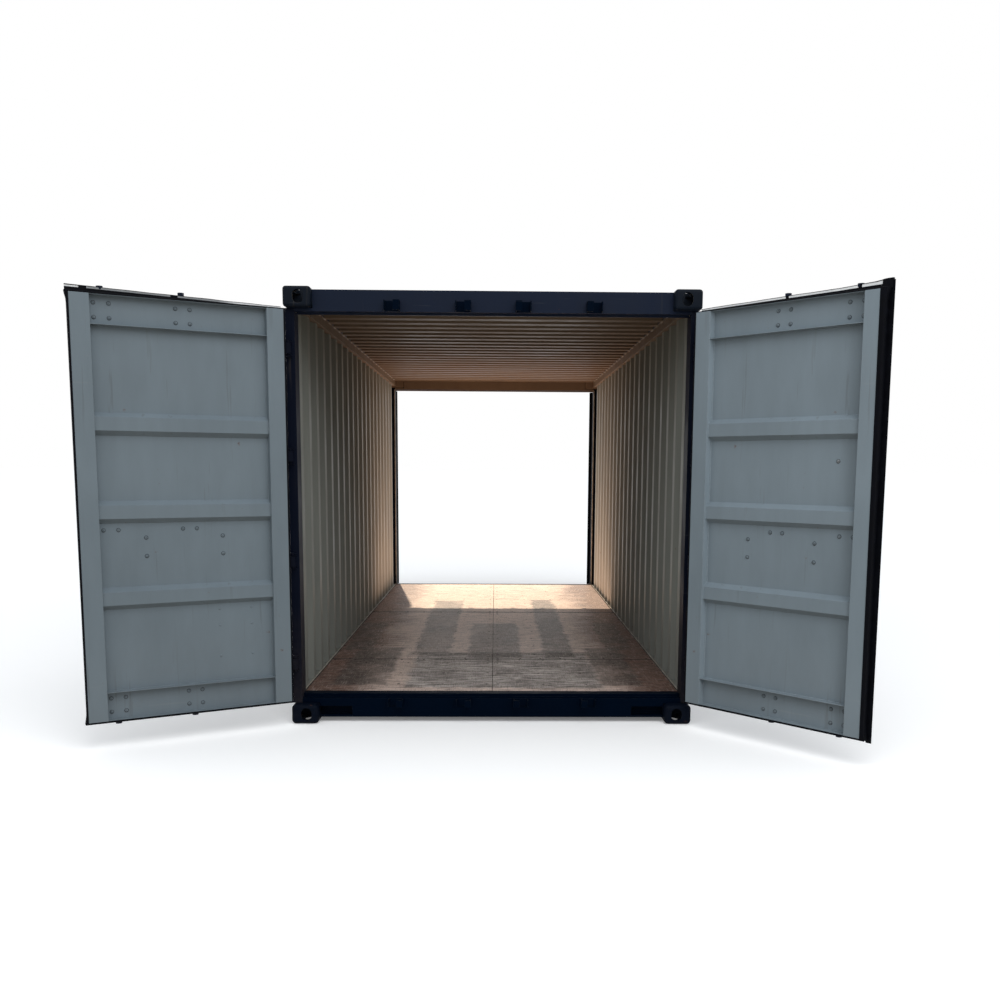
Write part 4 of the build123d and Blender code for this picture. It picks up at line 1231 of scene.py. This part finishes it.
def round_boxes(points, radius):
    """A box with round edges round the points of each of the four corners."""
    boxes = bmesh.new()
    for side in (-1, 1):
        for end in (-1, 1):
            own = [p for p in points if p.x * side > 0 and p.y * end > 0]
            low, high = (Vector([pick(p[axis] for p in own) for axis in range(3)]) for pick in (min, max))
            size = high - low + Vector((2, 2, 2)) * CUT_MARGIN
            for vert in bmesh.ops.create_cube(boxes, size=1)["verts"]:
                vert.co = (low + high) / 2 + Vector([a * b for a, b in zip(vert.co, size)])
    bmesh.ops.bevel(boxes, geom=boxes.edges[:], offset=radius, segments=6, profile=0.5, affect="EDGES")
    return add_object("round boxes", boxes)


for node, (radius, casting) in CASTINGS.items():
    shape = bmesh.new()
    shape.from_mesh(NODES[node].data)
    bmesh.ops.remove_doubles(shape, verts=shape.verts[:], dist=0.01 * MM)
    cutter = round_boxes([v.co.copy() for v in shape.verts], radius)
    name = node.replace("fittings", "castings")
    piece = finish_piece(name, shape, "container", [casting])
    cut = piece.modifiers.new("round off", "BOOLEAN")
    cut.operation, cut.solver, cut.object = "INTERSECT", "EXACT", cutter
    graph = bpy.context.evaluated_depsgraph_get()
    rounded = bpy.data.meshes.new_from_object(piece.evaluated_get(graph))
    piece.modifiers.clear()
    piece.data = rounded
    bpy.data.objects.remove(cutter)
    rounded.materials.clear()
    rounded.materials.append(casting)
    rounded.polygons.foreach_set("material_index", [0] * len(rounded.polygons))
    rounded.shade_smooth()
    rounded.set_sharp_from_angle(angle=SMOOTH_BELOW)
    even = piece.modifiers.new("flat faces stay flat", "WEIGHTED_NORMAL")
    even.keep_sharp = True
    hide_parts(node)
    print(name, "faces:", len(rounded.polygons))

# %% [markdown]
# ## The studio
# The floor is a wide pale plane. To the camera, floor and sky are white, as in a
# catalogue picture, while the object gets only a plain level of soft light and
# leaves its own soft shadow. Light Path tells the two kinds of ray apart.

# %% Ground and sky
WHITE = (1.0, 1.0, 1.0, 1.0)
SKY_BLUE, SKY_LEVEL = (0.94, 0.97, 1.0, 1.0), 0.92
STUDIO_REACH, FLOOR_LIFT = 400, 0.14
ground_shape = bmesh.new()
bmesh.ops.create_grid(ground_shape, x_segments=1, y_segments=1, size=STUDIO_REACH)
ground = add_object("studio_floor", ground_shape)
ground.location.z = -1 * MM


def seen_as_white(r):
    """1 for rays that should find a white background."""
    path = r.node("ShaderNodeLightPath").outputs
    seen = r.math("MAXIMUM", path["Is Camera Ray"], path["Is Glossy Ray"])
    return r.math("MAXIMUM", seen, path["Is Transmission Ray"])


studio_paint, r = empty_recipe(bpy.data.materials, "pale studio floor")
white_ray = seen_as_white(r)
floor_colour = r.mix(white_ray, paint(188, 177, 163), WHITE)
matt = r.node("ShaderNodeBsdfDiffuse", {"Color": floor_colour}).outputs[0]
lift = r.node("ShaderNodeEmission", {"Strength": r.math("MULTIPLY", white_ray, FLOOR_LIFT)}).outputs[0]
both = r.node("ShaderNodeAddShader", {0: matt, 1: lift}).outputs[0]
r.node("ShaderNodeOutputMaterial", {"Surface": both})
ground.data.materials.append(studio_paint)

world, r = empty_recipe(bpy.data.worlds, "studio sky")
plain = r.node("ShaderNodeBackground", {"Color": SKY_BLUE, "Strength": SKY_LEVEL}).outputs[0]
white = r.node("ShaderNodeBackground", {"Color": WHITE, "Strength": 1.0}).outputs[0]
sky = r.node("ShaderNodeMixShader", {0: seen_as_white(r), 1: plain, 2: white}).outputs[0]
r.node("ShaderNodeOutputWorld", {"Surface": sky})
bpy.context.scene.world = world
print("sky level:", SKY_LEVEL)

# %% [markdown]
# ## Lamps
# A wide soft lamp high in front lights the doors and posts, and a second one beside
# it adds a little to the right door and the posts. A warm sun behind the far end
# shines in through that doorway and lays the bright patch on the wood. Two soft lamps
# inside stand for what that patch throws back and for the sky in the far doorway.
# All but the first are linked to the pieces they are meant for.

# %% Front lamps, doorway lamps and the light that the wood throws back


def lamp(name, kind, energy, place, aim, **settings):
    """A lamp at a place, aimed at a point, with any of its own settings."""
    light = bpy.data.lights.new(name, kind)
    light.energy = energy
    for key, value in settings.items():
        setattr(light, key, value)
    made = bpy.data.objects.new(name, light)
    made.location = place
    made.rotation_euler = (Vector(aim) - Vector(place)).to_track_quat("-Z", "Y").to_euler()
    bpy.context.scene.collection.objects.link(made)
    return made


def lights_only(made, names):
    """Links a lamp to the named pieces, so that nothing else gets its light."""
    lit = bpy.data.collections.new("lit by " + made.name)
    for name in names:
        lit.objects.link(bpy.data.objects[name] if name in bpy.data.objects else NODES[name])
    made.light_linking.receiver_collection = lit


lamp("front softbox", "AREA", energy=198.0, place=(1.2, -8.0, 6.5), aim=(0, -3.0, 1.2), size=5.0)
right_softbox = lamp(
    "right softbox", "AREA", energy=150.0, place=(3.6, -8.2, 2.6), aim=(0.8, -3.3, 1.3), size=3.0
)
RIGHT_SIDE = ("corner_posts", "near_right_door_frame", "near_right_door_panel", "near_right_panel_beads")
lights_only(right_softbox, RIGHT_SIDE)

WARM = (1.0, 0.81, 0.60)
FLOOR_SIDE = ("floor_boards", "left_side_wall", "right_side_wall", "hold_sealant", "floor_screws")
HOLD_SIDE = (
    "left_side_wall",
    "right_side_wall",
    "roof_panel",
    "roof_corner_plates",
    "left_top_rail",
    "right_top_rail",
    "far_header",
    "top_corner_castings",
    "hold_sealant",
    "roof_rib_sealant",
)
SUN_TURN, SUN_HEIGHT, SUN_WIDTH = (math.radians(a) for a in (9.0, 46.4, 0.8))
SUN_AWAY = 12
level = math.cos(SUN_HEIGHT)
sunward = Vector((-math.sin(SUN_TURN) * level, math.cos(SUN_TURN) * level, math.sin(SUN_HEIGHT)))
far_sun = lamp(
    "doorway lamp", "SUN", energy=6.4, place=sunward * SUN_AWAY, aim=(0, 0, 0), angle=SUN_WIDTH, color=WARM
)
lights_only(far_sun, FLOOR_SIDE)
thrown_back = lamp(
    "light off the lit boards",
    "AREA",
    energy=52.0,
    place=(0.1, 1.85, 0.20),
    aim=(0.1, 1.85, 2.0),
    shape="RECTANGLE",
    size=2.1,
    size_y=1.9,
    color=(1.0, 0.62, 0.44),
)
lights_only(thrown_back, HOLD_SIDE)
doorway_sky = lamp(
    "far doorway softbox",
    "AREA",
    energy=16.0,
    place=(0.0, 3.20, 1.35),
    aim=(0.0, 0.0, 1.2),
    shape="RECTANGLE",
    size=2.2,
    size_y=2.2,
    color=(1.0, 0.86, 0.74),
)
lights_only(doorway_sky, HOLD_SIDE + ("floor_boards", "floor_screws"))
for inside_lamp in (thrown_back, doorway_sky):
    inside_lamp.visible_camera = False
    inside_lamp.visible_glossy = False

# %% [markdown]
# ## The camera
# The photograph's own geometry gives the camera: lines that are parallel on the
# box meet at points that fix where it stood and how long its lens was. The shift
# moves the frame without tilting the camera, as a crop of the picture does.

# %% Camera
LENS, SENSOR_WIDTH, SHIFT = 35.513, 36.0, (-0.0125, 0.0937)
CAMERA_PLACE = Vector((0.0165, -8.9074, 1.5544))
YAW, PITCH, ROLL = (math.radians(a) for a in (1.014, -7.263, 0.338))
forward = Vector((math.sin(YAW) * math.cos(PITCH), math.cos(YAW) * math.cos(PITCH), math.sin(PITCH)))
level_right = Vector((math.cos(YAW), -math.sin(YAW), 0))
level_up = level_right.cross(forward)
right = level_right * math.cos(ROLL) + level_up * math.sin(ROLL)
up = level_up * math.cos(ROLL) - level_right * math.sin(ROLL)
camera_data = bpy.data.cameras.new("photograph view")
camera_data.lens = LENS
camera_data.sensor_width = SENSOR_WIDTH
camera_data.sensor_fit = "HORIZONTAL"
camera_data.shift_x, camera_data.shift_y = SHIFT
camera_data.clip_end = 1000.0
camera = bpy.data.objects.new("photograph view", camera_data)
turned = Matrix((right, up, -forward)).transposed().to_4x4()
camera.matrix_world = Matrix.Translation(CAMERA_PLACE) @ turned
bpy.context.scene.collection.objects.link(camera)
bpy.context.scene.camera = camera
bpy.context.scene.view_settings.view_transform = "Standard"
print("camera looks along", tuple(round(v, 3) for v in forward))
